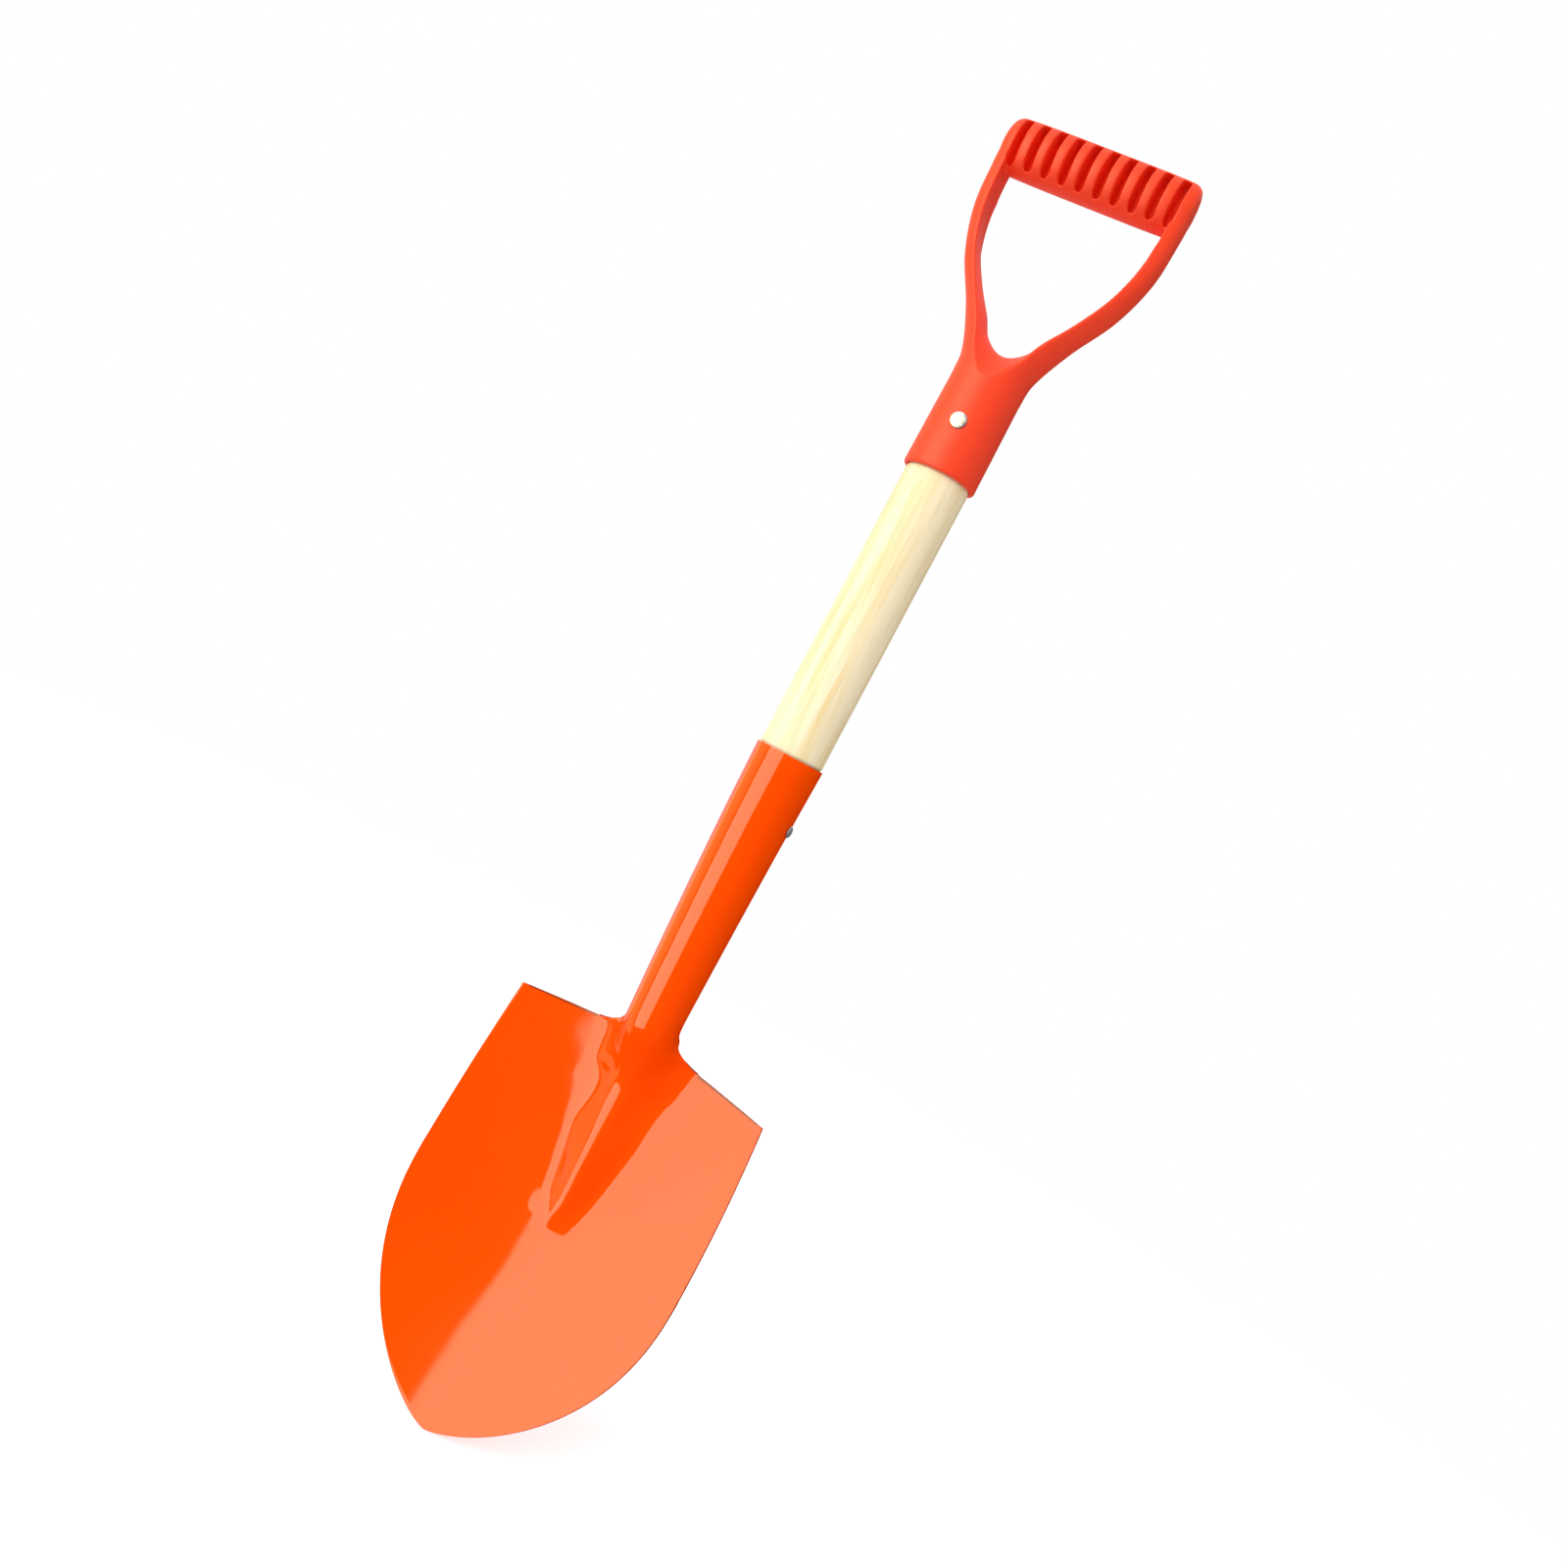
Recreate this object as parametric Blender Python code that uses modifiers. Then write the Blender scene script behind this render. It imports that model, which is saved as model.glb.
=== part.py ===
"""Short garden shovel with a pressed steel blade, a wooden shaft and a plastic D-handle.

The shovel stands on its tip, front side towards -Y. The origin is the middle of the
grip's underside, where a hook carries it. Run it with
blender --background --python part.py, or from the text editor.
"""
import math

import bmesh
import bpy
from mathutils import Vector

# Driving dimensions, in metres
SHAFT_DIAMETER = 0.0335           # wood where it shows
SHAFT_SHOWN = 0.1528              # wood between the steel socket and the plastic one
SHAFT_TENON_DIAMETER = 0.0324     # wood inside the plastic socket
SHAFT_IN_STEEL = 0.070            # wood that enters the steel socket
SHAFT_END_CHAMFER = 0.0015
FIT_GAP = 0.0003                  # between neighbours

SHEET = 0.0013                    # blade steel
SOCKET_LENGTH = 0.1627            # steel socket, from its mouth to the neck
SOCKET_MOUTH_DIAMETER = 0.0356
SOCKET_NECK_DIAMETER = 0.0276
SOCKET_SEAM = 0.0016              # open seam along the back of the socket
NECK_SET_BACK = 0.0085            # how far the neck lies behind the shaft's axis
NECK_BEND_LENGTH = 0.135
NECK_BEND_POWER = 1.5
OPEN_BACK_LENGTH = 0.032          # where the socket opens out into the blade
OPEN_BACK_POWER = 3.0             # a higher power keeps the socket closed for longer
NECK_FILLET = 0.009               # between the neck and the tread

BLADE_LENGTH = 0.2031             # outer end of the tread to the tip
BLADE_WIDTH = 0.1538              # at the widest place
TREAD_WIDTH = 0.1448              # across the outer ends of the treads
TREAD_RISE = 0.0045               # inner end of a tread above its outer end
WIDEST_BELOW_TREAD = 0.0955
TREAD_SET_BACK = 0.0129           # blade edge behind the shaft's axis, at the tread
TIP_SET_FORWARD = 0.0178          # tip in front of the shaft's axis
EDGE_LEAN_SHARE = 0.23            # part of the edge's way forward that is straight, not curved
DISH_AT_TREAD = 0.0070
DISH_DEPTH = 0.0148               # depth of the dish across the widest place
DISH_RUN_IN = 0.085

FROG_LENGTH = 0.1080              # hollow ridge that carries the socket down the blade
FROG_BASE_WIDTH = 0.0615
FROG_TIP_WIDTH = 0.0225
FROG_CREST_RADIUS = 0.0050
FROG_ROOT_RADIUS = 0.0105         # hollow between ridge and blade
FROG_ROOT_FLARE = 0.0080          # how much wider that hollow gets towards the tread
FROG_FLARE_POWER = 3
FROG_SHARPENING_POWER = 1.8       # a higher power takes the crest from round to sharp sooner
FROG_ARC_ROOM = 0.88              # most of a flank that its two arcs may take
FROG_LEAST_HEIGHT = 0.0001
FROG_LEAST_LEAN = math.radians(24.5)   # of the flanks, as long as their height allows it
CREST_BEND_START = 0.0200         # above the neck, where the front starts to bend back
# The crest's way back against its way down, both as shares, to the ridge's lower end
CREST_PROFILE = [(0.0, 0.0), (0.035, 0.027), (0.074, 0.080), (0.113, 0.160), (0.156, 0.275),
                 (0.191, 0.378), (0.230, 0.490), (0.270, 0.593), (0.309, 0.677),
                 (0.340, 0.720), (0.387, 0.756), (0.426, 0.772), (0.582, 0.804),
                 (0.738, 0.840), (0.816, 0.872), (0.895, 0.917), (1.0, 1.0)]
INNER_SHARE_AT_POINT = 0.22       # width of the strip below the ridge, at the point's edge

HANDLE_LENGTH = 0.1780            # plastic handle, rim to the top of the grip
HANDLE_WIDTH = 0.1012
HANDLE_SOCKET_DIAMETER = 0.0382
HANDLE_SOCKET_TOP_DIAMETER = 0.0370
HANDLE_SOCKET_LENGTH = 0.0480
HANDLE_BORE_DEPTH = 0.0420
HANDLE_RIM_ROUNDING = 0.0012
GRIP_HEIGHT = 0.0280
GRIP_DEPTH = 0.0264
GRIP_END_ROUNDING = 0.0055        # seen from the front
GRIP_END_FLAT = 0.0130            # depth of the flat that closes each end of the grip
ARM_WIDTH = 0.0076                # across an arm beside the grip
YOKE_DEPTH_AT_GRIP = 0.0256
YOKE_SPREAD_SHARE = 0.91          # of the yoke's height, where it reaches its full width
ELLIPSE = 2.0                     # squareness of an ellipse; a higher one is more of a rectangle
YOKE_SQUARENESS = 4.0             # of the arms' section at the grip
OPENING_LENGTH = 0.0830           # hand opening, crotch to the grip's underside
SADDLE_DROP = 0.0170              # front edge of the crotch below its ridge
SADDLE_POWER = 1.6
ARM_INSET = 0.0006                # of the arms' tops from the grip's ends
POCKET_COUNT = 10
POCKET_PITCH = 0.0092
POCKET_WIDTH = 0.0044
POCKET_HEIGHT = 0.0240
POCKET_FLOOR_BEHIND_AXIS = 0.0020

RIVET_SHANK_DIAMETER = 0.0045     # rivet through the plastic socket
HANDLE_RIVET_ABOVE_RIM = 0.0253
HANDLE_RIVET_HEAD_DIAMETER = 0.0082
HANDLE_RIVET_HEAD_HEIGHT = 0.0016
HANDLE_RIVET_SEAT_DEPTH = 0.0008
WASHER_DIAMETER = 0.0105
WASHER_THICKNESS = 0.0010
WASHER_CHAMFER = 0.0002
RIVET_TAIL_DIAMETER = 0.0066
RIVET_TAIL_HEIGHT = 0.0012
NAIL_BELOW_MOUTH = 0.0330         # nail through the side of the steel socket
NAIL_SHANK_DIAMETER = 0.0030
NAIL_HEAD_DIAMETER = 0.0062
NAIL_HEAD_HEIGHT = 0.0013
NAIL_LENGTH = 0.0220              # under the head
NAIL_POINT_LENGTH = 0.0040
CUTTER_MARGIN = 0.002             # how far a cutter goes past the surface it starts from

# Shape of the yoke: share of its height, share of the way from socket to full width
YOKE_OUTER_SHAPE = [(0.0, 0.0), (0.125, 0.035), (0.327, 0.32), (0.538, 0.71), (0.76, 0.94), (1.0, 1.0)]
# Shape of the hand opening: root of the share of its height, share of its half width
OPENING_SHAPE = [(0.0, 0.0), (0.17, 0.16), (0.28, 0.27), (0.43, 0.39), (0.59, 0.62),
                 (0.74, 0.84), (0.87, 0.96), (1.0, 1.0)]
# Shape of the blade's point, which is rounder with a smaller power
POINT_LENGTH_POWER = 2.22
POINT_WIDTH_POWER = 0.70

# Fineness of the meshes
RING_SIDES = 40
RIVET_SIDES = 24
HOLE_SIDES = 32
SHAFT_SIDES = 48
SOCKET_ROWS = 7
OPEN_BACK_ROWS = 8
FILLET_ROWS = 4
BLADE_ROWS = 22
RIDGE_COLUMNS = 12
WING_COLUMNS = 8
SECTION_STEPS = 96
SLOPE_STEP = 0.0005
YOKE_ROWS = 20
OPENING_ROWS = 14
OPENING_LAYERS = 5
ARC_STEPS = 8
CORNER_STEPS = 5
RIM_STEPS = 3
SMOOTH_ANGLE = math.radians(40)
EDGE_TOLERANCE = 0.0001

# Levels along the shovel
GRIP_AXIS_Z = GRIP_HEIGHT / 2
HANDLE_RIM_Z = GRIP_HEIGHT - HANDLE_LENGTH
MOUTH_Z = HANDLE_RIM_Z - SHAFT_SHOWN
NECK_Z = MOUTH_Z - SOCKET_LENGTH
TREAD_Z = NECK_Z - TREAD_RISE
TIP_Z = TREAD_Z - BLADE_LENGTH
HANDLE_RIVET_Z = HANDLE_RIM_Z + HANDLE_RIVET_ABOVE_RIM
NAIL_Z = MOUTH_Z - NAIL_BELOW_MOUTH
YOKE_Z = HANDLE_RIM_Z + HANDLE_SOCKET_LENGTH
CROTCH_Z = -OPENING_LENGTH

COLLECTION_NAME = "garden_shovel"
CUTTER_COLLECTION_NAME = "cutters"


def mix(a, b, share):
    return a + (b - a) * share


def clamp(value, low=0.0, high=1.0):
    return max(low, min(high, value))


def ease(share):
    share = clamp(share)
    return share * share * (3 - 2 * share)


def curve_value(points, at):
    """Height of a smooth curve through the points, at a place along them."""
    for k in range(len(points) - 1):
        (x0, y0), (x1, y1) = points[k], points[k + 1]
        if at <= x1 or k == len(points) - 2:
            break

    def slope(n):
        before = points[max(n - 1, 0)]
        after = points[min(n + 1, len(points) - 1)]
        return (after[1] - before[1]) / (after[0] - before[0])

    span = x1 - x0
    u = clamp((at - x0) / span)
    h = u * u * (3 - 2 * u)
    bend = (u ** 3 - 2 * u * u + u) * slope(k) + (u ** 3 - u * u) * slope(k + 1)
    return y0 + (y1 - y0) * h + bend * span


# Scene helpers
def new_collection(name):
    collection = bpy.data.collections.new(name)
    bpy.context.scene.collection.children.link(collection)
    return collection


def new_object(name, mesh, collection, material=None):
    obj = bpy.data.objects.new(name, mesh)
    collection.objects.link(obj)
    if material:
        mesh.materials.append(material)
    return obj


def new_material(name, color, roughness, metallic=0.0):
    material = bpy.data.materials.new(name)
    material.use_nodes = True
    shader = material.node_tree.nodes["Principled BSDF"]
    shader.inputs["Base Color"].default_value = (*color, 1.0)
    shader.inputs["Roughness"].default_value = roughness
    shader.inputs["Metallic"].default_value = metallic
    material.diffuse_color = (*color, 1.0)
    return material


def smooth_by_angle(obj):
    """Smooth shading with sharp edges kept, as the object's last modifier."""
    tree = bpy.data.node_groups.new(f"smooth_{obj.name}", "GeometryNodeTree")
    tree.interface.new_socket("Geometry", in_out="INPUT", socket_type="NodeSocketGeometry")
    tree.interface.new_socket("Geometry", in_out="OUTPUT", socket_type="NodeSocketGeometry")
    source = tree.nodes.new("NodeGroupInput")
    result = tree.nodes.new("NodeGroupOutput")
    edge_angle = tree.nodes.new("GeometryNodeInputMeshEdgeAngle")
    flat_enough = tree.nodes.new("FunctionNodeCompare")
    flat_enough.operation = "LESS_THAN"
    flat_enough.inputs["B"].default_value = SMOOTH_ANGLE
    faces = tree.nodes.new("GeometryNodeSetShadeSmooth")
    edges = tree.nodes.new("GeometryNodeSetShadeSmooth")
    edges.domain = "EDGE"
    links = tree.links
    links.new(source.outputs["Geometry"], faces.inputs["Geometry"])
    links.new(faces.outputs["Geometry"], edges.inputs["Geometry"])
    links.new(edge_angle.outputs["Unsigned Angle"], flat_enough.inputs["A"])
    links.new(flat_enough.outputs["Result"], edges.inputs["Shade Smooth"])
    links.new(edges.outputs["Geometry"], result.inputs["Geometry"])
    obj.modifiers.new("Smooth by angle", "NODES").node_group = tree


def mesh_from_bmesh(name, bm):
    mesh = bpy.data.meshes.new(name)
    bm.to_mesh(mesh)
    bm.free()
    return mesh


def loft(name, rings):
    """A closed body through rings that all have as many points."""
    bm = bmesh.new()
    loops = [[bm.verts.new(point) for point in ring] for ring in rings]
    count = len(rings[0])
    for lower, upper in zip(loops, loops[1:]):
        for k in range(count):
            after = (k + 1) % count
            bm.faces.new((lower[k], lower[after], upper[after], upper[k]))
    bm.faces.new(list(reversed(loops[0])))
    bm.faces.new(loops[-1])
    bmesh.ops.recalc_face_normals(bm, faces=bm.faces)
    return mesh_from_bmesh(name, bm)


def turned(name, profile, collection, material=None, sides=RING_SIDES, ring=False):
    """A turned piece: its profile, outer side from top to bottom, swept about Z."""
    bm = bmesh.new()
    verts = [bm.verts.new((radius, 0.0, z)) for radius, z in profile]
    for upper, lower in zip(verts, verts[1:]):
        bm.edges.new((upper, lower))
    if ring:
        bm.edges.new((verts[-1], verts[0]))
    obj = new_object(name, mesh_from_bmesh(name, bm), collection, material)
    screw = obj.modifiers.new("Turn", "SCREW")
    screw.axis = "Z"
    screw.steps = sides
    screw.render_steps = sides
    screw.use_merge_vertices = True
    screw.merge_threshold = 0.00001
    return obj


def as_cutter(obj, cutters):
    for collection in list(obj.users_collection):
        collection.objects.unlink(obj)
    cutters.objects.link(obj)
    obj.hide_render = True
    obj.display_type = "WIRE"
    return obj


def rod_cutter(name, radius, start, end, cutters, sides=HOLE_SIDES):
    """A round cutter from one point to another."""
    way = Vector(end) - Vector(start)
    bm = bmesh.new()
    bmesh.ops.create_cone(bm, cap_ends=True, segments=sides, radius1=radius, radius2=radius,
                          depth=way.length)
    obj = new_object(name, mesh_from_bmesh(name, bm), cutters)
    obj.location = (Vector(start) + Vector(end)) / 2
    obj.rotation_euler = way.to_track_quat("Z", "Y").to_euler()
    return as_cutter(obj, cutters)


def boolean(obj, other, operation):
    modifier = obj.modifiers.new(f"{operation.title()} {other.name}", "BOOLEAN")
    modifier.operation = operation
    modifier.solver = "EXACT"
    modifier.object = other
    return modifier


# Blade
def socket_radius(z):
    """Outer radius of the steel socket, which tapers from mouth to neck."""
    share = clamp((MOUTH_Z - z) / SOCKET_LENGTH)
    return mix(SOCKET_MOUTH_DIAMETER, SOCKET_NECK_DIAMETER, share) / 2


def socket_axis_y(z):
    """The socket leans back towards the blade."""
    share = clamp((NECK_Z + NECK_BEND_LENGTH - z) / NECK_BEND_LENGTH)
    return NECK_SET_BACK * share ** NECK_BEND_POWER


def side_half_width(t):
    """Half width of the blade at t below the tread, down to the widest place."""
    share = clamp(1 - t / WIDEST_BELOW_TREAD)
    return mix(BLADE_WIDTH, TREAD_WIDTH, share * share) / 2


def blade_reach(across):
    """How far below the tread the blade reaches, at a share of its half width."""
    point_length = BLADE_LENGTH - WIDEST_BELOW_TREAD
    fill = clamp(1 - across ** (1 / POINT_WIDTH_POWER))
    return WIDEST_BELOW_TREAD + point_length * fill ** (1 / POINT_LENGTH_POWER)


def outline_half_width(t):
    if t <= WIDEST_BELOW_TREAD:
        return side_half_width(t)
    share = (t - WIDEST_BELOW_TREAD) / (BLADE_LENGTH - WIDEST_BELOW_TREAD)
    return BLADE_WIDTH / 2 * clamp(1 - share ** POINT_LENGTH_POWER) ** POINT_WIDTH_POWER


def edge_y(t):
    """The blade's edge, which runs forward in a gentle curve from tread to tip."""
    share = t / BLADE_LENGTH
    forward = TREAD_SET_BACK + TIP_SET_FORWARD
    return TREAD_SET_BACK - forward * mix(share * share, share, EDGE_LEAN_SHARE)


def plate_y(x, t):
    """Front surface of the dished blade."""
    half = outline_half_width(t)
    tread_bow = DISH_AT_TREAD / (TREAD_WIDTH / 2) ** 2
    full_bow = DISH_DEPTH / (BLADE_WIDTH / 2) ** 2
    bow = mix(tread_bow, full_bow, ease(t / DISH_RUN_IN))
    return edge_y(t) + bow * (half * half - x * x)


def plate_slope(x, t):
    return (plate_y(x + SLOPE_STEP, t) - plate_y(x - SLOPE_STEP, t)) / (2 * SLOPE_STEP)


def frog_share(t):
    return clamp((t + TREAD_RISE) / FROG_LENGTH)


def frog_half_base(t):
    return mix(FROG_BASE_WIDTH, FROG_TIP_WIDTH, frog_share(t)) / 2


def crest_y(z):
    """Front line of the socket, and below the neck of the ridge."""
    start = NECK_Z + CREST_BEND_START
    if z >= start:
        return socket_axis_y(z) - socket_radius(z)
    top = socket_axis_y(start) - socket_radius(start)
    bottom = plate_y(0.0, FROG_LENGTH - TREAD_RISE)
    down = (start - z) / (CREST_BEND_START + FROG_LENGTH)
    return mix(top, bottom, curve_value(CREST_PROFILE, down))


def ridge_turns(t):
    """The ridge's half section: (length, turn) of crest arc, flank and root arc."""
    base = frog_half_base(t)
    share = frog_share(t)
    height = max(plate_y(base, t) - crest_y(TREAD_Z - t), FROG_LEAST_HEIGHT)
    round_share = (1 - share) ** FROG_SHARPENING_POWER
    crest = mix(FROG_CREST_RADIUS, SOCKET_NECK_DIAMETER / 2, round_share)
    room = FROG_ARC_ROOM * (base * base + height * height) / (2 * height)
    root = min(FROG_ROOT_RADIUS + FROG_ROOT_FLARE * (1 - share) ** FROG_FLARE_POWER, room - crest)
    # Where the ridge is low, wider arcs keep its flanks leaning; near its end the crest's too
    lean = FROG_LEAST_LEAN
    wanted = (base * math.sin(lean) - height * math.cos(lean)) / (1 - math.cos(lean))
    both = max(crest + root, min(wanted, room))
    crest *= (both / (crest + root)) ** share
    root = both - crest
    out = math.atan(plate_slope(base, t))
    across = base + root * math.sin(out)
    rise = height + root * (1 - math.cos(out))
    flank = math.sqrt(max(across ** 2 + (rise - both) ** 2 - both ** 2, 0.0))
    lean = math.atan2(rise - both, across) + math.atan2(both, flank)
    return [(crest * lean, lean), (flank, 0.0), (root * (lean - out), out - lean)]


def ridge_section(t):
    """Points of the ridge's half section, from its crest to the blade."""
    turns = ridge_turns(t)
    total = sum(length for length, _ in turns)
    points = []
    for k in range(SECTION_STEPS + 1):
        run = total * k / SECTION_STEPS
        x, y, angle = 0.0, crest_y(TREAD_Z - t), 0.0
        for length, turn in turns:
            part = min(run, length)
            if part > 0.0:
                bend = turn * part / length
                chord = part * math.sin(bend / 2) / (bend / 2) if bend else part
                x += chord * math.cos(angle + bend / 2)
                y += chord * math.sin(angle + bend / 2)
                angle += bend
                run -= part
        points.append((x, min(y, plate_y(x, t))))
    return points


def socket_section(z):
    """Points of the socket's half section, from the front to its seam at the back."""
    radius = socket_radius(z)
    half_turn = math.pi - SOCKET_SEAM / 2 / radius
    points = []
    for k in range(SECTION_STEPS + 1):
        angle = half_turn * k / SECTION_STEPS
        points.append((radius * math.sin(angle), socket_axis_y(z) - radius * math.cos(angle)))
    return points


def open_share(z):
    """0 where the socket is closed, 1 at the neck."""
    return ease(1 - (z - NECK_Z) / OPEN_BACK_LENGTH) ** OPEN_BACK_POWER


def half_section(z):
    """Half section at a level: closed socket above, open ridge below, and between them a blend."""
    if z <= NECK_Z:
        return ridge_section(TREAD_Z - z)
    share = open_share(z)
    shift = crest_y(z) - crest_y(NECK_Z)
    points = []
    for closed, opened in zip(socket_section(z), ridge_section(-TREAD_RISE)):
        points.append((mix(closed[0], opened[0], share), mix(closed[1], opened[1] + shift, share)))
    return points


def section_length(points):
    return sum(math.dist(a, b) for a, b in zip(points, points[1:]))


def point_on_section(points, run):
    """The point at a developed length."""
    for a, b in zip(points, points[1:]):
        span = math.dist(a, b)
        if run <= span:
            break
        run -= span
    share = clamp(run / span)
    return mix(a[0], b[0], share), mix(a[1], b[1], share)


def neck_cut(above_neck):
    """How much narrower the sheet is cut above the tread, in a rounded corner."""
    drop = clamp(NECK_FILLET - above_neck, 0.0, NECK_FILLET)
    return math.sqrt(NECK_FILLET ** 2 - drop ** 2) * open_share(NECK_Z + above_neck)


def levels_above_neck():
    """Heights above the neck of the socket's rows of points, top first."""
    high = [mix(SOCKET_LENGTH, OPEN_BACK_LENGTH, k / SOCKET_ROWS) for k in range(SOCKET_ROWS)]
    middle = [mix(OPEN_BACK_LENGTH, NECK_FILLET, k / OPEN_BACK_ROWS) for k in range(OPEN_BACK_ROWS)]
    low = [NECK_FILLET * (1 - math.sin(math.pi / 2 * k / FILLET_ROWS)) for k in range(FILLET_ROWS)]
    return high + middle + low


def inner_point(column, row, levels):
    """A point of the socket, the ridge or the strip of blade below the ridge."""
    share = column / RIDGE_COLUMNS
    if row < len(levels):
        above = levels[row]
        z = NECK_Z + above
        section = half_section(z)
        x, y = point_on_section(section, share * (section_length(section) - neck_cut(above)))
        return Vector((x, y, z))
    down = (row - len(levels)) / BLADE_ROWS
    reach = blade_reach(share * INNER_SHARE_AT_POINT)
    t = mix(-TREAD_RISE, reach, down)
    if t < FROG_LENGTH - TREAD_RISE:
        section = half_section(TREAD_Z - t)
        x, y = point_on_section(section, share * section_length(section))
        return Vector((x, y, TREAD_Z - t))
    narrow = FROG_TIP_WIDTH / 2
    frog_down = FROG_LENGTH / (BLADE_LENGTH + TREAD_RISE)
    spread = ease((down - frog_down) / (1 - frog_down))
    x = share * mix(narrow, INNER_SHARE_AT_POINT * BLADE_WIDTH / 2, spread)
    return Vector((x, plate_y(x, t), TREAD_Z - t))


def wing_point(column, row):
    """A point of the blade beside the ridge; row 0 lies on the tread."""
    share = column / WING_COLUMNS
    down = row / BLADE_ROWS
    nominal = mix(INNER_SHARE_AT_POINT, 1.0, math.sin(math.pi / 2 * share))
    reach = blade_reach(nominal)
    start = inner_point(RIDGE_COLUMNS, len(LEVELS) + row, LEVELS)
    outer = TREAD_WIDTH / 2
    tread_inner = start_of_tread()
    begin = -TREAD_RISE * clamp((outer - mix(tread_inner, outer, share)) / (outer - tread_inner))
    t = mix(begin, reach, down)
    half = side_half_width(t) if t < WIDEST_BELOW_TREAD else BLADE_WIDTH / 2
    near = mix(start.x / half, 1.0, mix(share, math.sin(math.pi / 2 * share), down))
    x = half * mix(near, nominal, ease(2 * down - 1))
    return Vector((x, plate_y(x, t), TREAD_Z - t))


def start_of_tread():
    return inner_point(RIDGE_COLUMNS, len(LEVELS), LEVELS).x


LEVELS = levels_above_neck()


def blade_surface():
    """The front of the sheet: a grid with the corners above the treads left out."""
    columns = RIDGE_COLUMNS + WING_COLUMNS
    rows = len(LEVELS) + BLADE_ROWS
    bm = bmesh.new()
    bmesh.ops.create_grid(bm, x_segments=2 * columns, y_segments=rows, size=1.0)
    left_out = []
    for vert in bm.verts:
        column = round(vert.co.x * columns)
        row = round((1 - vert.co.y) / 2 * rows)
        side = -1 if column < 0 else 1
        if abs(column) <= RIDGE_COLUMNS:
            place = inner_point(abs(column), row, LEVELS)
        elif row >= len(LEVELS):
            place = wing_point(abs(column) - RIDGE_COLUMNS, row - len(LEVELS))
        else:
            left_out.append(vert)
            continue
        vert.co = (side * place.x, place.y, place.z)
    bmesh.ops.delete(bm, geom=left_out, context="VERTS")
    bmesh.ops.recalc_face_normals(bm, faces=bm.faces)
    front = min(bm.faces, key=lambda face: face.calc_center_median().y)
    if front.normal.y > 0:
        bmesh.ops.reverse_faces(bm, faces=bm.faces)
    return mesh_from_bmesh("blade_surface", bm)


def tread_height(x):
    """Level of the tread's flat edge at a distance from the middle."""
    outer = TREAD_WIDTH / 2
    share = (outer - abs(x)) / (outer - start_of_tread())
    return TREAD_Z + TREAD_RISE * share


def make_blade(collection, cutters, material):
    sheet = new_object("blade_sheet", blade_surface(), collection)
    wall = sheet.modifiers.new("Sheet", "SOLIDIFY")
    wall.thickness = SHEET
    wall.offset = -1.0
    wall.use_even_offset = True
    wall.use_rim = True
    bpy.context.view_layer.update()
    evaluated = sheet.evaluated_get(bpy.context.evaluated_depsgraph_get())
    mesh = bpy.data.meshes.new_from_object(evaluated)
    bpy.data.objects.remove(sheet)
    inner = start_of_tread()
    for vert in mesh.vertices:
        level = tread_height(vert.co.x)
        if abs(vert.co.x) > inner - EDGE_TOLERANCE and abs(vert.co.z - level) < SHEET / 2:
            vert.co.z = level
    mesh.name = "blade"
    blade = new_object("blade", mesh, collection, material)
    hole = rod_cutter("socket_nail_hole", NAIL_SHANK_DIAMETER / 2 + FIT_GAP,
                      (0.0, 0.0, NAIL_Z), (SOCKET_MOUTH_DIAMETER, 0.0, NAIL_Z), cutters)
    boolean(blade, hole, "DIFFERENCE")
    smooth_by_angle(blade)
    return blade


# Shaft
def make_shaft(collection, cutters, material):
    """Turned wood: a tenon in the handle, the shown length, a tapered end in the socket."""
    shown = SHAFT_DIAMETER / 2
    tenon = SHAFT_TENON_DIAMETER / 2
    top = HANDLE_RIM_Z + HANDLE_BORE_DEPTH - FIT_GAP
    bottom = MOUTH_Z - SHAFT_IN_STEEL
    chamfer = SHAFT_END_CHAMFER

    def in_steel(z):
        return socket_radius(z) - socket_axis_y(z) - SHEET - FIT_GAP

    shoulder = MOUTH_Z + FIT_GAP
    profile = [
        (0.0, top),
        (tenon - chamfer, top),
        (tenon, top - chamfer),
        (tenon, HANDLE_RIM_Z - FIT_GAP),
        (shown, HANDLE_RIM_Z - FIT_GAP),
        (shown, shoulder + chamfer / 2),
        (in_steel(MOUTH_Z), shoulder),
        (in_steel(bottom + chamfer), bottom + chamfer),
        (in_steel(bottom) - chamfer, bottom),
        (0.0, bottom),
    ]
    shaft = turned("shaft", profile, collection, material, SHAFT_SIDES)
    reach = SHAFT_DIAMETER
    point = nail_seat_x() - NAIL_LENGTH - FIT_GAP
    nail_hole = rod_cutter("shaft_nail_hole", NAIL_SHANK_DIAMETER / 2 + FIT_GAP,
                           (point, 0.0, NAIL_Z), (reach, 0.0, NAIL_Z), cutters)
    rivet_hole = rod_cutter("shaft_rivet_hole", RIVET_SHANK_DIAMETER / 2 + FIT_GAP,
                            (0.0, -reach, HANDLE_RIVET_Z), (0.0, reach, HANDLE_RIVET_Z), cutters)
    boolean(shaft, nail_hole, "DIFFERENCE")
    boolean(shaft, rivet_hole, "DIFFERENCE")
    smooth_by_angle(shaft)
    return shaft


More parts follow.
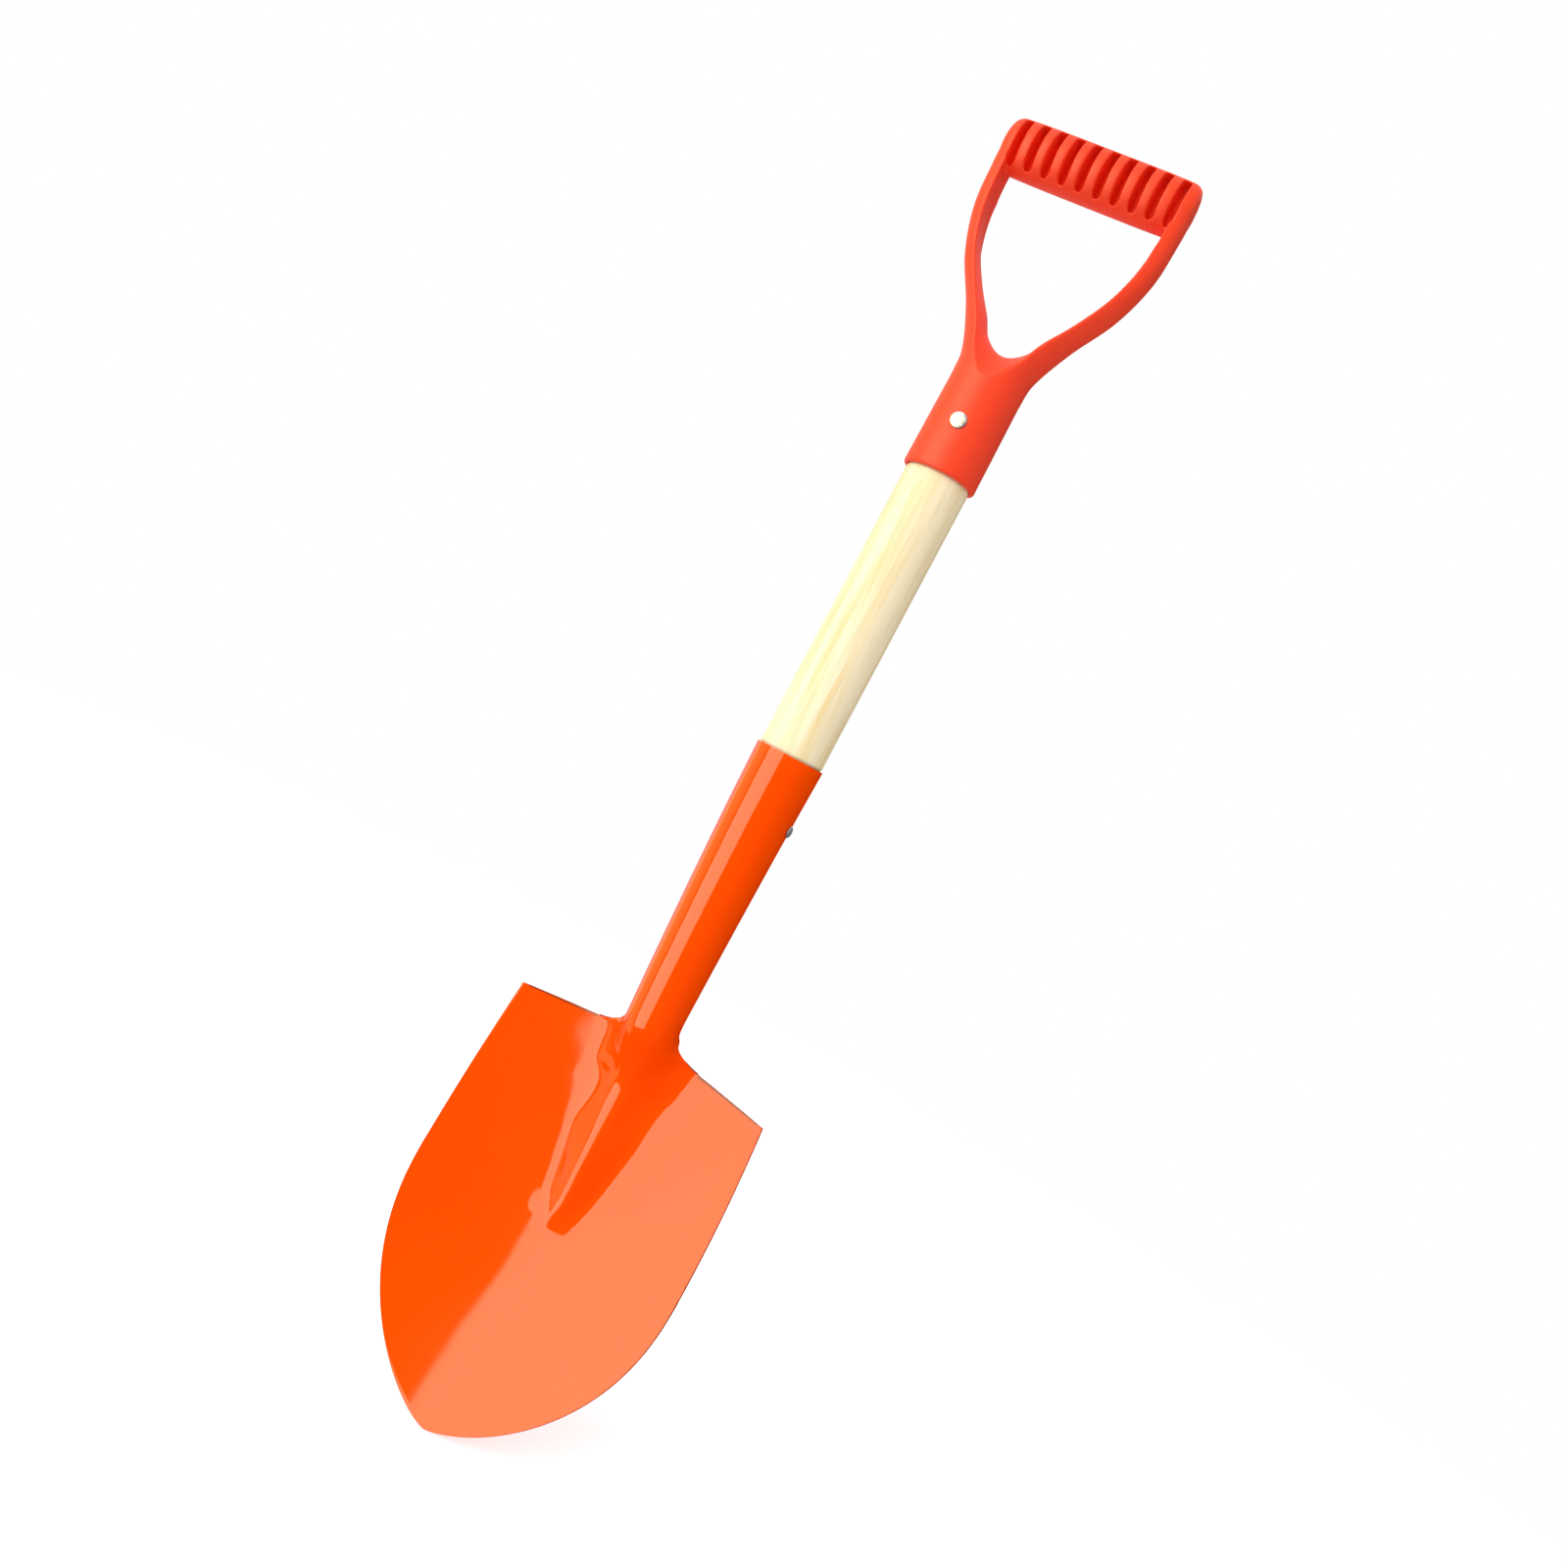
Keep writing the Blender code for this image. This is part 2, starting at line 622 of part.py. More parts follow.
# D-handle
def handle_half_width(z):
    """Outer half width of socket and yoke."""
    yoke_height = GRIP_AXIS_Z - YOKE_Z
    mouth, top = HANDLE_SOCKET_DIAMETER / 2, HANDLE_SOCKET_TOP_DIAMETER / 2
    if z <= YOKE_Z:
        return mix(mouth, top, (z - HANDLE_RIM_Z) / HANDLE_SOCKET_LENGTH)
    share = clamp((z - YOKE_Z) / yoke_height / YOKE_SPREAD_SHARE)
    spread = curve_value(YOKE_OUTER_SHAPE, share)
    return mix(top, HANDLE_WIDTH / 2, spread)


def handle_half_depth(z):
    if z <= YOKE_Z:
        return handle_half_width(z)
    share = ease((z - YOKE_Z) / (GRIP_AXIS_Z - YOKE_Z))
    return mix(HANDLE_SOCKET_TOP_DIAMETER, YOKE_DEPTH_AT_GRIP, share) / 2


def oval(half_width, half_depth, z, squareness=ELLIPSE):
    """A ring of points, from an ellipse towards a rounded rectangle."""
    ring = []
    for k in range(RING_SIDES):
        angle = 2 * math.pi * (k + 0.5) / RING_SIDES
        across = math.copysign(abs(math.cos(angle)) ** (2 / squareness), math.cos(angle))
        deep = math.copysign(abs(math.sin(angle)) ** (2 / squareness), math.sin(angle))
        ring.append((half_width * across, half_depth * deep, z))
    return ring


def yoke_body():
    """Socket and yoke as one body, round at the rim and flat and wide at the grip."""
    rings = []
    for k in range(RIM_STEPS + 1):
        angle = math.pi / 2 * k / RIM_STEPS
        z = HANDLE_RIM_Z + HANDLE_RIM_ROUNDING * (1 - math.sin(angle))
        inset = HANDLE_RIM_ROUNDING * (1 - math.cos(angle))
        rings.insert(0, oval(handle_half_width(z) - inset, handle_half_depth(z) - inset, z))
    rings.append(oval(handle_half_width(YOKE_Z), handle_half_depth(YOKE_Z), YOKE_Z))
    for k in range(1, YOKE_ROWS + 1):
        share = k / YOKE_ROWS
        z = mix(YOKE_Z, GRIP_AXIS_Z, share)
        squareness = mix(ELLIPSE, YOKE_SQUARENESS, ease(share))
        half_width = handle_half_width(z) - ARM_INSET * share
        rings.append(oval(half_width, handle_half_depth(z), z, squareness))
    return loft("yoke", rings)


def opening_outline(y):
    """The hand opening's outline at a depth: its bottom drops towards front and back."""
    half = HANDLE_WIDTH / 2 - ARM_WIDTH
    away = abs(y) / (HANDLE_SOCKET_TOP_DIAMETER / 2)
    bottom = CROTCH_Z - SADDLE_DROP * away ** SADDLE_POWER
    right = []
    for k in range(OPENING_ROWS + 1):
        root = k / OPENING_ROWS
        right.append((half * curve_value(OPENING_SHAPE, root), y, mix(bottom, 0.0, root * root)))
    right.append((half, y, GRIP_AXIS_Z + GRIP_END_ROUNDING / 2))
    left = [(-x, depth, z) for x, depth, z in reversed(right) if x > 0]
    return right + left


def pocket_cutter(index, cutters):
    """One pocket of the grip's front, square at the top and round at the bottom."""
    x = (index - (POCKET_COUNT - 1) / 2) * POCKET_PITCH
    half = POCKET_WIDTH / 2
    front = -GRIP_DEPTH
    floor = POCKET_FLOOR_BEHIND_AXIS
    bottom = GRIP_AXIS_Z - POCKET_HEIGHT / 2
    top = GRIP_AXIS_Z + POCKET_HEIGHT / 2
    outline = [(x + half, top), (x - half, top)]
    for k in range(ARC_STEPS + 1):
        angle = math.pi + math.pi * k / ARC_STEPS
        outline.append((x + half * math.cos(angle), bottom + half + half * math.sin(angle)))
    rings = [[(px, y, pz) for px, pz in outline] for y in (front, floor)]
    name = f"grip_pocket_{index + 1:02d}"
    return as_cutter(new_object(name, loft(name, rings), cutters), cutters)


def grip_ring(x, half_depth, half_height):
    """One oval section of the grip."""
    ring = []
    for k in range(RING_SIDES):
        angle = 2 * math.pi * (k + 0.5) / RING_SIDES
        ring.append((x, half_depth * math.cos(angle), GRIP_AXIS_Z + half_height * math.sin(angle)))
    return ring


def make_grip(cutters):
    """The bar across the arms, oval in section; its ends take the arms' outer shape."""
    half = HANDLE_WIDTH / 2
    flat_share = 1 - (GRIP_END_FLAT / GRIP_DEPTH) ** YOKE_SQUARENESS
    end = half * flat_share ** (1 / YOKE_SQUARENESS)
    straight = end - GRIP_END_ROUNDING
    places = [straight * math.sin(math.pi / 2 * k / CORNER_STEPS) for k in range(CORNER_STEPS)]
    for k in range(CORNER_STEPS + 1):
        places.append(end - GRIP_END_ROUNDING * math.cos(math.pi / 2 * k / CORNER_STEPS))
    rings = []
    for x in places:
        depth = GRIP_DEPTH / 2 * (1 - (x / half) ** YOKE_SQUARENESS) ** (1 / YOKE_SQUARENESS)
        over = max(x - straight, 0.0)
        drop = GRIP_END_ROUNDING - math.sqrt(GRIP_END_ROUNDING ** 2 - over ** 2)
        height = GRIP_HEIGHT / 2 - drop
        rings.append(grip_ring(x, depth, height))
        if x > 0:
            rings.insert(0, grip_ring(-x, depth, height))
    return as_cutter(new_object("grip_bar", loft("grip_bar", rings), cutters), cutters)


def make_handle(collection, cutters, material):
    handle = new_object("d_handle", yoke_body(), collection, material)
    deepest = HANDLE_SOCKET_DIAMETER / 2 + CUTTER_MARGIN
    layers = range(-OPENING_LAYERS, OPENING_LAYERS + 1)
    outlines = [opening_outline(deepest * k / OPENING_LAYERS) for k in layers]
    opening_mesh = loft("hand_opening", outlines)
    opening = as_cutter(new_object("hand_opening", opening_mesh, cutters), cutters)
    boolean(handle, opening, "DIFFERENCE")
    boolean(handle, make_grip(cutters), "UNION")
    for index in range(POCKET_COUNT):
        boolean(handle, pocket_cutter(index, cutters), "DIFFERENCE")
    bore_top = HANDLE_RIM_Z + HANDLE_BORE_DEPTH
    bore = rod_cutter("handle_bore", SHAFT_TENON_DIAMETER / 2 + FIT_GAP,
                      (0.0, 0.0, HANDLE_RIM_Z - CUTTER_MARGIN), (0.0, 0.0, bore_top), cutters,
                      SHAFT_SIDES)
    boolean(handle, bore, "DIFFERENCE")
    reach = HANDLE_SOCKET_DIAMETER
    hole = rod_cutter("handle_rivet_hole", RIVET_SHANK_DIAMETER / 2 + FIT_GAP,
                      (0.0, -reach, HANDLE_RIVET_Z), (0.0, reach, HANDLE_RIVET_Z), cutters)
    boolean(handle, hole, "DIFFERENCE")
    seat = rivet_seat_y()
    front = rod_cutter("rivet_head_seat", HANDLE_RIVET_HEAD_DIAMETER / 2 + FIT_GAP,
                       (0.0, -reach, HANDLE_RIVET_Z), (0.0, -seat, HANDLE_RIVET_Z), cutters)
    back = rod_cutter("washer_seat", WASHER_DIAMETER / 2 + FIT_GAP,
                      (0.0, seat, HANDLE_RIVET_Z), (0.0, reach, HANDLE_RIVET_Z), cutters)
    boolean(handle, front, "DIFFERENCE")
    boolean(handle, back, "DIFFERENCE")
    smooth_by_angle(handle)
    return handle


# Rivets
def rivet_seat_y():
    """Distance from the axis to the flat seats of the handle's rivet and washer."""
    return handle_half_depth(HANDLE_RIVET_Z) - HANDLE_RIVET_SEAT_DEPTH


def dome(radius, base, height):
    """Profile of a low dome, from its crown to its rim; a negative height points down."""
    points = []
    for k in range(CORNER_STEPS + 1):
        angle = math.pi / 2 * k / CORNER_STEPS
        points.append((radius * math.sin(angle), base + height * math.cos(angle)))
    return points


def nail_seat_x():
    """Distance from the axis to the underside of the nail's head."""
    return socket_radius(NAIL_Z) + FIT_GAP


def make_handle_rivet(collection, material):
    seat = rivet_seat_y()
    shank = RIVET_SHANK_DIAMETER / 2
    head_seat = seat + FIT_GAP
    tail_seat = seat + WASHER_THICKNESS + 2 * FIT_GAP
    head = dome(HANDLE_RIVET_HEAD_DIAMETER / 2, head_seat, HANDLE_RIVET_HEAD_HEIGHT)
    tail = dome(RIVET_TAIL_DIAMETER / 2, -tail_seat, -RIVET_TAIL_HEIGHT)
    profile = head + [(shank, head_seat), (shank, -tail_seat)] + list(reversed(tail))
    rivet = turned("handle_rivet", profile, collection, material, RIVET_SIDES)
    rivet.rotation_euler = (math.pi / 2, 0.0, 0.0)
    rivet.location = (0.0, 0.0, HANDLE_RIVET_Z)
    smooth_by_angle(rivet)
    return rivet


def make_washer(collection, material):
    inner = RIVET_SHANK_DIAMETER / 2 + FIT_GAP
    outer = WASHER_DIAMETER / 2
    bottom = -WASHER_THICKNESS / 2
    top = WASHER_THICKNESS / 2
    edge = WASHER_CHAMFER
    profile = [(inner, top), (outer - edge, top), (outer, top - edge), (outer, bottom),
               (inner, bottom)]
    washer = turned("handle_rivet_washer", profile, collection, material, RIVET_SIDES, ring=True)
    washer.rotation_euler = (-math.pi / 2, 0.0, 0.0)
    washer.location = (0.0, rivet_seat_y() + FIT_GAP + WASHER_THICKNESS / 2, HANDLE_RIVET_Z)
    smooth_by_angle(washer)
    return washer


def make_socket_nail(collection, material):
    seat = nail_seat_x()
    shank = NAIL_SHANK_DIAMETER / 2
    point = seat - NAIL_LENGTH
    profile = dome(NAIL_HEAD_DIAMETER / 2, seat, NAIL_HEAD_HEIGHT)
    profile += [(shank, seat), (shank, point + NAIL_POINT_LENGTH), (0.0, point)]
    nail = turned("socket_nail", profile, collection, material, RIVET_SIDES)
    nail.rotation_euler = (0.0, math.pi / 2, 0.0)
    nail.location = (0.0, 0.0, NAIL_Z)
    smooth_by_angle(nail)
    return nail


def main():
    for obj in list(bpy.data.objects):
        bpy.data.objects.remove(obj)
    collection = new_collection(COLLECTION_NAME)
    cutters = new_collection(CUTTER_COLLECTION_NAME)
    enamel = new_material("orange_enamel", (1.0, 0.13, 0.005), 0.25)
    wood = new_material("pale_wood", (0.85, 0.70, 0.42), 0.6)
    plastic = new_material("red_plastic", (0.95, 0.03, 0.02), 0.35)
    steel = new_material("zinc_plated_steel", (0.75, 0.75, 0.75), 0.3, 1.0)
    make_blade(collection, cutters, enamel)
    make_shaft(collection, cutters, wood)
    make_handle(collection, cutters, plastic)
    make_handle_rivet(collection, steel)
    make_washer(collection, steel)
    make_socket_nail(collection, steel)


main()
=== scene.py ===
"""Dresses a short garden shovel: enamelled steel blade, turned wooden shaft, plastic D-handle.

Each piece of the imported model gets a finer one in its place, with the finish of the real
thing. The shovel stands on its tip on a pale floor, front side towards -Y. All sizes are
in metres. Run it with blender --background --python scene.py.
"""

import math
from functools import lru_cache

import bpy
from bpy.props import FloatProperty, FloatVectorProperty, IntProperty, PointerProperty
from bpy.types import Operator, Panel, PropertyGroup
from mathutils import Matrix, Vector


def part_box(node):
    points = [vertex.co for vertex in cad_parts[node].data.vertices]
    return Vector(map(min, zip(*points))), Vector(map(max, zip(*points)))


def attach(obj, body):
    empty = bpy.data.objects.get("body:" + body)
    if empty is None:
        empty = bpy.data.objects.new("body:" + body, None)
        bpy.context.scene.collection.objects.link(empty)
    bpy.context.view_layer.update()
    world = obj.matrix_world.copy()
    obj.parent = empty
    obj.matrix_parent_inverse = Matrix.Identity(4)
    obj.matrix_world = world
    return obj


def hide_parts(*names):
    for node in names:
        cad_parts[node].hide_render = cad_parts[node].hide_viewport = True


bl_info = {
    "name": "Garden Shovel",
    "version": (1, 0, 0),
    "blender": (4, 5, 0),
    "location": "View3D > Sidebar > Shovel",
    "description": "Models a short garden shovel piece by piece, with its stage",
    "category": "Add Mesh",
}

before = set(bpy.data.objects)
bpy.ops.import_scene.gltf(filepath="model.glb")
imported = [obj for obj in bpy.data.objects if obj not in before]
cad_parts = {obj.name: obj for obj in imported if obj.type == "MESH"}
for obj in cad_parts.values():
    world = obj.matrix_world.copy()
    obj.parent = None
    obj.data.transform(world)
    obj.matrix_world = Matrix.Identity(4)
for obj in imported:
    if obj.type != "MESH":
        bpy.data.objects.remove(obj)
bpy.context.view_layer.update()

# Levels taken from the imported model
MOUTH_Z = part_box("blade")[1][2]
FLOOR_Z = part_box("blade")[0][2]
HANDLE_RIM_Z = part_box("d_handle")[0][2]


# Properties
def hex_to_linear(text):
    """Linear red, green, blue of a colour written as six sRGB hex digits."""
    channels = []
    for start in (0, 2, 4):
        value = int(text[start:start + 2], 16) / 255
        channels.append(value / 12.92 if value <= 0.04045 else ((value + 0.055) / 1.055) ** 2.4)
    return tuple(channels)


def size_of(name, description, default):
    return FloatProperty(name=name, description=description, default=default, min=0.0,
                         precision=4, unit="LENGTH")


def color_of(name, description, default):
    return FloatVectorProperty(name=name, description=description, size=3, subtype="COLOR",
                               default=hex_to_linear(default), min=0.0, max=1.0)


def number_of(name, description, default):
    return FloatProperty(name=name, description=description, default=default, subtype="FACTOR")


class ShovelBladeSettings(PropertyGroup):
    """The pressed steel sheet: socket, ridge and dished blade."""
    sheet: size_of("Sheet", "Thickness of the steel", 0.0013)
    length: size_of("Blade length", "Outer end of the tread to the tip", 0.2031)
    width: size_of("Blade width", "Across the widest place", 0.1538)
    tread_width: size_of("Tread width", "Across the outer ends of the treads", 0.1448)
    tread_rise: size_of("Tread rise", "Inner end of a tread above its outer end", 0.0045)
    widest_below: size_of("Widest below tread", "Tread to the widest place", 0.0955)
    set_back: size_of("Tread set back", "Blade edge behind the shaft's axis", 0.0129)
    tip_forward: size_of("Tip forward", "Tip in front of the shaft's axis", 0.0178)
    dish_at_tread: size_of("Dish at tread", "Depth of the dish at the tread", 0.0070)
    dish_depth: size_of("Dish depth", "Depth of the dish at the widest place", 0.0148)
    dish_run_in: size_of("Dish run-in", "Length over which the dish deepens", 0.085)
    socket_length: size_of("Socket length", "Mouth of the socket to the neck", 0.1627)
    mouth_diameter: size_of("Mouth diameter", "Outside, at the socket's mouth", 0.0356)
    neck_diameter: size_of("Neck diameter", "Outside, where the socket meets the blade", 0.0276)
    seam: size_of("Seam", "Open seam along the back of the socket", 0.0016)
    neck_set_back: size_of("Neck set back", "Neck behind the shaft's axis", 0.0085)
    neck_bend: size_of("Neck bend", "Length over which the socket leans back", 0.135)
    open_back: size_of("Open back", "Length over which the socket opens out", 0.032)
    neck_fillet: size_of("Neck fillet", "Rounding between neck and tread", 0.009)
    ridge_length: size_of("Ridge length", "Hollow ridge below the neck", 0.108)
    ridge_base: size_of("Ridge base", "Width of the ridge at the neck", 0.0615)
    ridge_tip: size_of("Ridge tip", "Width of the ridge at its lower end", 0.0225)
    crest_radius: size_of("Crest radius", "Rounding of the ridge's crest", 0.005)
    crest_bend: size_of("Crest bend", "Starts this far above the neck", 0.020)
    root_radius: size_of("Root radius", "Hollow between ridge and blade", 0.0105)
    root_flare: size_of("Root flare", "More of that radius towards the tread", 0.008)
    edge_bevel: size_of("Edge bevel", "Rounding of the enamelled edges", 0.00045)
    enamel: color_of("Enamel", "Colour of the enamel", "FF4B00")
    # Darker enamel for the cut edges and a band along each tread: partly enamel drawn thin on the
    # edges, partly painted shade along the edges and treads
    edge: color_of("Edge", "Enamel drawn thin over the cut edges", "9A3508")


class ShovelShaftSettings(PropertyGroup):
    """The turned wooden shaft."""
    diameter: size_of("Diameter", "Wood where it shows", 0.0335)
    tenon: size_of("Tenon", "Diameter inside the plastic socket", 0.0324)
    in_plastic: size_of("In plastic", "Wood inside the plastic socket", 0.0417)
    in_steel: size_of("In steel", "Wood inside the steel socket", 0.070)
    chamfer: size_of("Chamfer", "On the ends of the shaft", 0.0015)
    gap: size_of("Gap", "Between the wood and its neighbours", 0.0003)
    wood: color_of("Wood", "Pale sapwood", "F8E8C3")
    streak: color_of("Streak", "Darker growth in the wood", "EED49C")


class ShovelHandleSettings(PropertyGroup):
    """The moulded plastic handle."""
    length: size_of("Length", "Rim to the top of the grip", 0.178)
    width: size_of("Width", "Across the grip", 0.1012)
    socket_diameter: size_of("Socket diameter", "At the rim", 0.0382)
    socket_top: size_of("Socket top", "Diameter under the arms", 0.0370)
    socket_length: size_of("Socket length", "Rim to the foot of the arms", 0.048)
    bore: size_of("Bore", "Diameter of the hole for the shaft", 0.0330)
    bore_depth: size_of("Bore depth", "Depth of that hole", 0.042)
    rim_rounding: size_of("Rim rounding", "On the rim's outer edge", 0.0012)
    grip_height: size_of("Grip height", "Seen from the front", 0.028)
    grip_depth: size_of("Grip depth", "Front to back", 0.0264)
    grip_rounding: size_of("Grip rounding", "On the grip's ends", 0.0055)
    grip_flat: size_of("Grip end flat", "Depth of the flat that closes the grip", 0.013)
    arm_width: size_of("Arm width", "Beside the grip", 0.0076)
    arm_depth: size_of("Arm depth", "Front to back beside the grip", 0.0256)
    opening: size_of("Opening", "Crotch to the grip's underside", 0.083)
    saddle: size_of("Saddle", "Front edge of the crotch below its ridge", 0.017)
    pocket_pitch: size_of("Pocket pitch", "Between neighbouring pockets", 0.0092)
    pocket_width: size_of("Pocket width", "Across one pocket", 0.0044)
    pocket_height: size_of("Pocket height", "Top to bottom of one pocket", 0.024)
    pocket_floor: size_of("Pocket floor", "Behind the grip's axis", 0.002)
    pockets: IntProperty(name="Pockets", description="Number of pockets in the grip",
                         default=10, min=1, subtype="UNSIGNED")
    grain: size_of("Mesh grain", "Size of the moulded body's faces", 0.0008)
    plastic: color_of("Plastic", "Colour of the moulding", "FF4422")


class ShovelFixingSettings(PropertyGroup):
    """The rivet with its washer and the nail in the socket."""
    rivet_above_rim: size_of("Rivet above rim", "Rivet's axis above the handle's rim", 0.0253)
    rivet_shank: size_of("Rivet shank", "Diameter", 0.0045)
    rivet_head: size_of("Rivet head", "Diameter", 0.0082)
    rivet_rise: size_of("Rivet rise", "Height of the head", 0.0016)
    seat_depth: size_of("Seat depth", "Of the flat seats in the plastic", 0.0008)
    washer: size_of("Washer", "Outer diameter", 0.0105)
    washer_sheet: size_of("Washer sheet", "Thickness", 0.001)
    tail: size_of("Rivet tail", "Diameter of the closed end", 0.0066)
    tail_rise: size_of("Tail rise", "Height of the closed end", 0.0012)
    nail_below_mouth: size_of("Nail below mouth", "Nail's axis below the steel mouth", 0.033)
    nail_shank: size_of("Nail shank", "Diameter", 0.003)
    nail_head: size_of("Nail head", "Diameter", 0.0062)
    nail_rise: size_of("Nail rise", "Height of the head", 0.0013)
    nail_length: size_of("Nail length", "Under the head", 0.022)
    nail_point: size_of("Nail point", "Length of the point", 0.004)
    zinc: color_of("Zinc", "Bright zinc plate", "D5D6D6")


class ShovelStageSettings(PropertyGroup):
    """Floor, light and camera."""
    floor_size: size_of("Floor", "Width of the floor", 3.0)
    floor: color_of("Floor colour", "Pale floor", "F7F7F7")
    key: number_of("Key", "Level of the soft key light", 0.80)
    fill: number_of("Fill", "Level of the even fill light", 0.62)
    reflection: number_of("Reflection", "Brightness of the panel seen in gloss", 7.2)
    lens: FloatProperty(name="Lens", description="Focal length on a 36 mm sensor",
                        default=31.63, unit="CAMERA")


# Numbers
def mix(a, b, share):
    return a + (b - a) * share


def clamp(value, low=0.0, high=1.0):
    return max(low, min(high, value))


def ease(share):
    share = clamp(share)
    return share * share * (3 - 2 * share)


def curve_value(points, at):
    """Height of a smooth curve through the points, at a place along them."""
    for k in range(len(points) - 1):
        (x0, y0), (x1, y1) = points[k], points[k + 1]
        if at <= x1 or k == len(points) - 2:
            break

    def slope(n):
        before = points[max(n - 1, 0)]
        after = points[min(n + 1, len(points) - 1)]
        return (after[1] - before[1]) / (after[0] - before[0])

    span = x1 - x0
    u = clamp((at - x0) / span)
    h = u * u * (3 - 2 * u)
    bend = (u ** 3 - 2 * u * u + u) * slope(k) + (u ** 3 - u * u) * slope(k + 1)
    return y0 + (y1 - y0) * h + bend * span


# Modelling steps
DOUBLED = 0.000002
OVERRUN = 0.002


def deselect_all():
    bpy.ops.object.select_all(action="DESELECT")


def just_added(name):
    """The object that an operator has just added, under its own name."""
    obj = bpy.context.object
    obj.name = name
    return obj


def make_active(obj):
    deselect_all()
    obj.select_set(True)
    bpy.context.view_layer.objects.active = obj


def select_by_place(obj, test, faces=False):
    """Open edit mode with only those vertices or faces selected that the test accepts."""
    make_active(obj)
    mesh = obj.data
    for items in (mesh.vertices, mesh.edges, mesh.polygons):
        items.foreach_set("select", [False] * len(items))
    chosen = mesh.polygons if faces else mesh.vertices
    chosen.foreach_set("select", [bool(test(item)) for item in chosen])
    bpy.context.tool_settings.mesh_select_mode = (not faces, False, faces)
    bpy.ops.object.mode_set(mode="EDIT")


def edit_all(obj):
    make_active(obj)
    bpy.ops.object.mode_set(mode="EDIT")
    bpy.ops.mesh.select_all(action="SELECT")


def leave_edit():
    bpy.ops.object.mode_set(mode="OBJECT")


def close_up(obj):
    """Join doubled points and turn all faces outwards."""
    edit_all(obj)
    bpy.ops.mesh.remove_doubles(threshold=DOUBLED)
    bpy.ops.mesh.normals_make_consistent(inside=False)
    leave_edit()


def apply_modifier(obj, kind, **settings):
    make_active(obj)
    bpy.ops.object.modifier_add(type=kind)
    modifier = obj.modifiers[-1]
    for name, value in settings.items():
        setattr(modifier, name, value)
    bpy.ops.object.modifier_apply(modifier=modifier.name)


def extruded_body(name, rings):
    """A round plate extruded once for each further ring, then shaped ring by ring."""
    sides = len(rings[0])
    deselect_all()
    bpy.ops.mesh.primitive_circle_add(vertices=sides, radius=1.0, fill_type="NGON")
    obj = just_added(name)
    edit_all(obj)
    for _ in rings[1:]:
        bpy.ops.mesh.extrude_region_move(TRANSFORM_OT_translate={"value": (0.0, 0.0, 1.0)})
    leave_edit()
    for vert in obj.data.vertices:
        turn = math.atan2(vert.co.y, vert.co.x) - math.pi / 2
        place = round(turn / (2 * math.pi) * sides) % sides
        vert.co = rings[round(vert.co.z)][place]
    close_up(obj)
    return obj


def spun_body(name, profile, steps):
    """A turned piece: one point extruded along its profile, then spun about Z."""
    deselect_all()
    bpy.ops.mesh.primitive_plane_add(size=0.01)
    obj = just_added(name)
    edit_all(obj)
    bpy.ops.mesh.merge(type="CENTER")
    here = (0.0, 0.0)
    for number, (radius, level) in enumerate(profile):
        step = (radius - here[0], 0.0, level - here[1])
        if number == 0:
            bpy.ops.transform.translate(value=step)
        else:
            bpy.ops.mesh.extrude_vertices_move(TRANSFORM_OT_translate={"value": step})
        here = (radius, level)
    bpy.ops.mesh.select_all(action="SELECT")
    bpy.ops.mesh.spin(steps=steps, angle=2 * math.pi, center=(0.0, 0.0, 0.0),
                      axis=(0.0, 0.0, 1.0))
    leave_edit()
    close_up(obj)
    return obj


def turn_and_move(obj, towards, place):
    """Turn the piece's Z to a direction, move it, and write that into its mesh."""
    turn = Vector(towards).to_track_quat("Z", "Y").to_matrix().to_4x4()
    obj.data.transform(Matrix.Translation(place) @ turn)


def rod_cutter(radius, start, end, sides=48):
    way = Vector(end) - Vector(start)
    angles = [2 * math.pi * k / sides for k in range(sides)]
    cutter = extruded_body("cutter", [[(radius * math.cos(angle), radius * math.sin(angle), z)
                                       for angle in angles] for z in (0.0, way.length)])
    turn_and_move(cutter, way, start)
    return cutter


def join_shape(obj, other, operation):
    """Apply a Boolean with another shape, which is then removed."""
    apply_modifier(obj, "BOOLEAN", operation=operation, solver="EXACT", object=other)
    bpy.data.objects.remove(other)


def keep_inside(obj, node):
    """Hold every point inside the box of the piece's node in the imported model."""
    low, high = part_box(node)
    for vert in obj.data.vertices:
        for axis in range(3):
            vert.co[axis] = clamp(vert.co[axis], low[axis], high[axis])


def dress(obj, node, materials=(), angle=40.0):
    """Give a finished piece its materials, smooth shading and place in the model."""
    keep_inside(obj, node)
    for material in materials:
        obj.data.materials.append(material)
    make_active(obj)
    bpy.ops.object.shade_smooth_by_angle(angle=math.radians(angle))
    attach(obj, "root")
    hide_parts(node)
    return obj


# Materials
def add_node(tree, kind, values=None, links=None, **settings):
    """Add a shader node, set its options and socket values, and link its inputs.

    A link is given as an output, or as a node whose first output is meant.
    """
    node = tree.nodes.new("ShaderNode" + kind)
    for name, value in settings.items():
        setattr(node, name, value)
    for socket, value in (values or {}).items():
        node.inputs[socket].default_value = value
    for socket, source in (links or {}).items():
        output = source.outputs[0] if isinstance(source, bpy.types.Node) else source
        tree.links.new(output, node.inputs[socket])
    return node


def new_material(name):
    material = bpy.data.materials.new(name)
    material.use_nodes = True
    material.node_tree.nodes.clear()
    return material, material.node_tree


def grid_per_metre(tree, scale=(1000.0, 1000.0, 1000.0), rotation=(0.0, 0.0, 0.0)):
    """The object's own coordinates, in millimetres if no other scale is given."""
    place = add_node(tree, "TexCoord")
    return add_node(tree, "Mapping", {"Scale": scale, "Rotation": rotation},
                    {"Vector": place.outputs["Object"]})


def shade(color, share=1.0):
    """A linear colour as a node takes it, darkened to a share of its light."""
    return (*(channel * share for channel in color), 1.0)


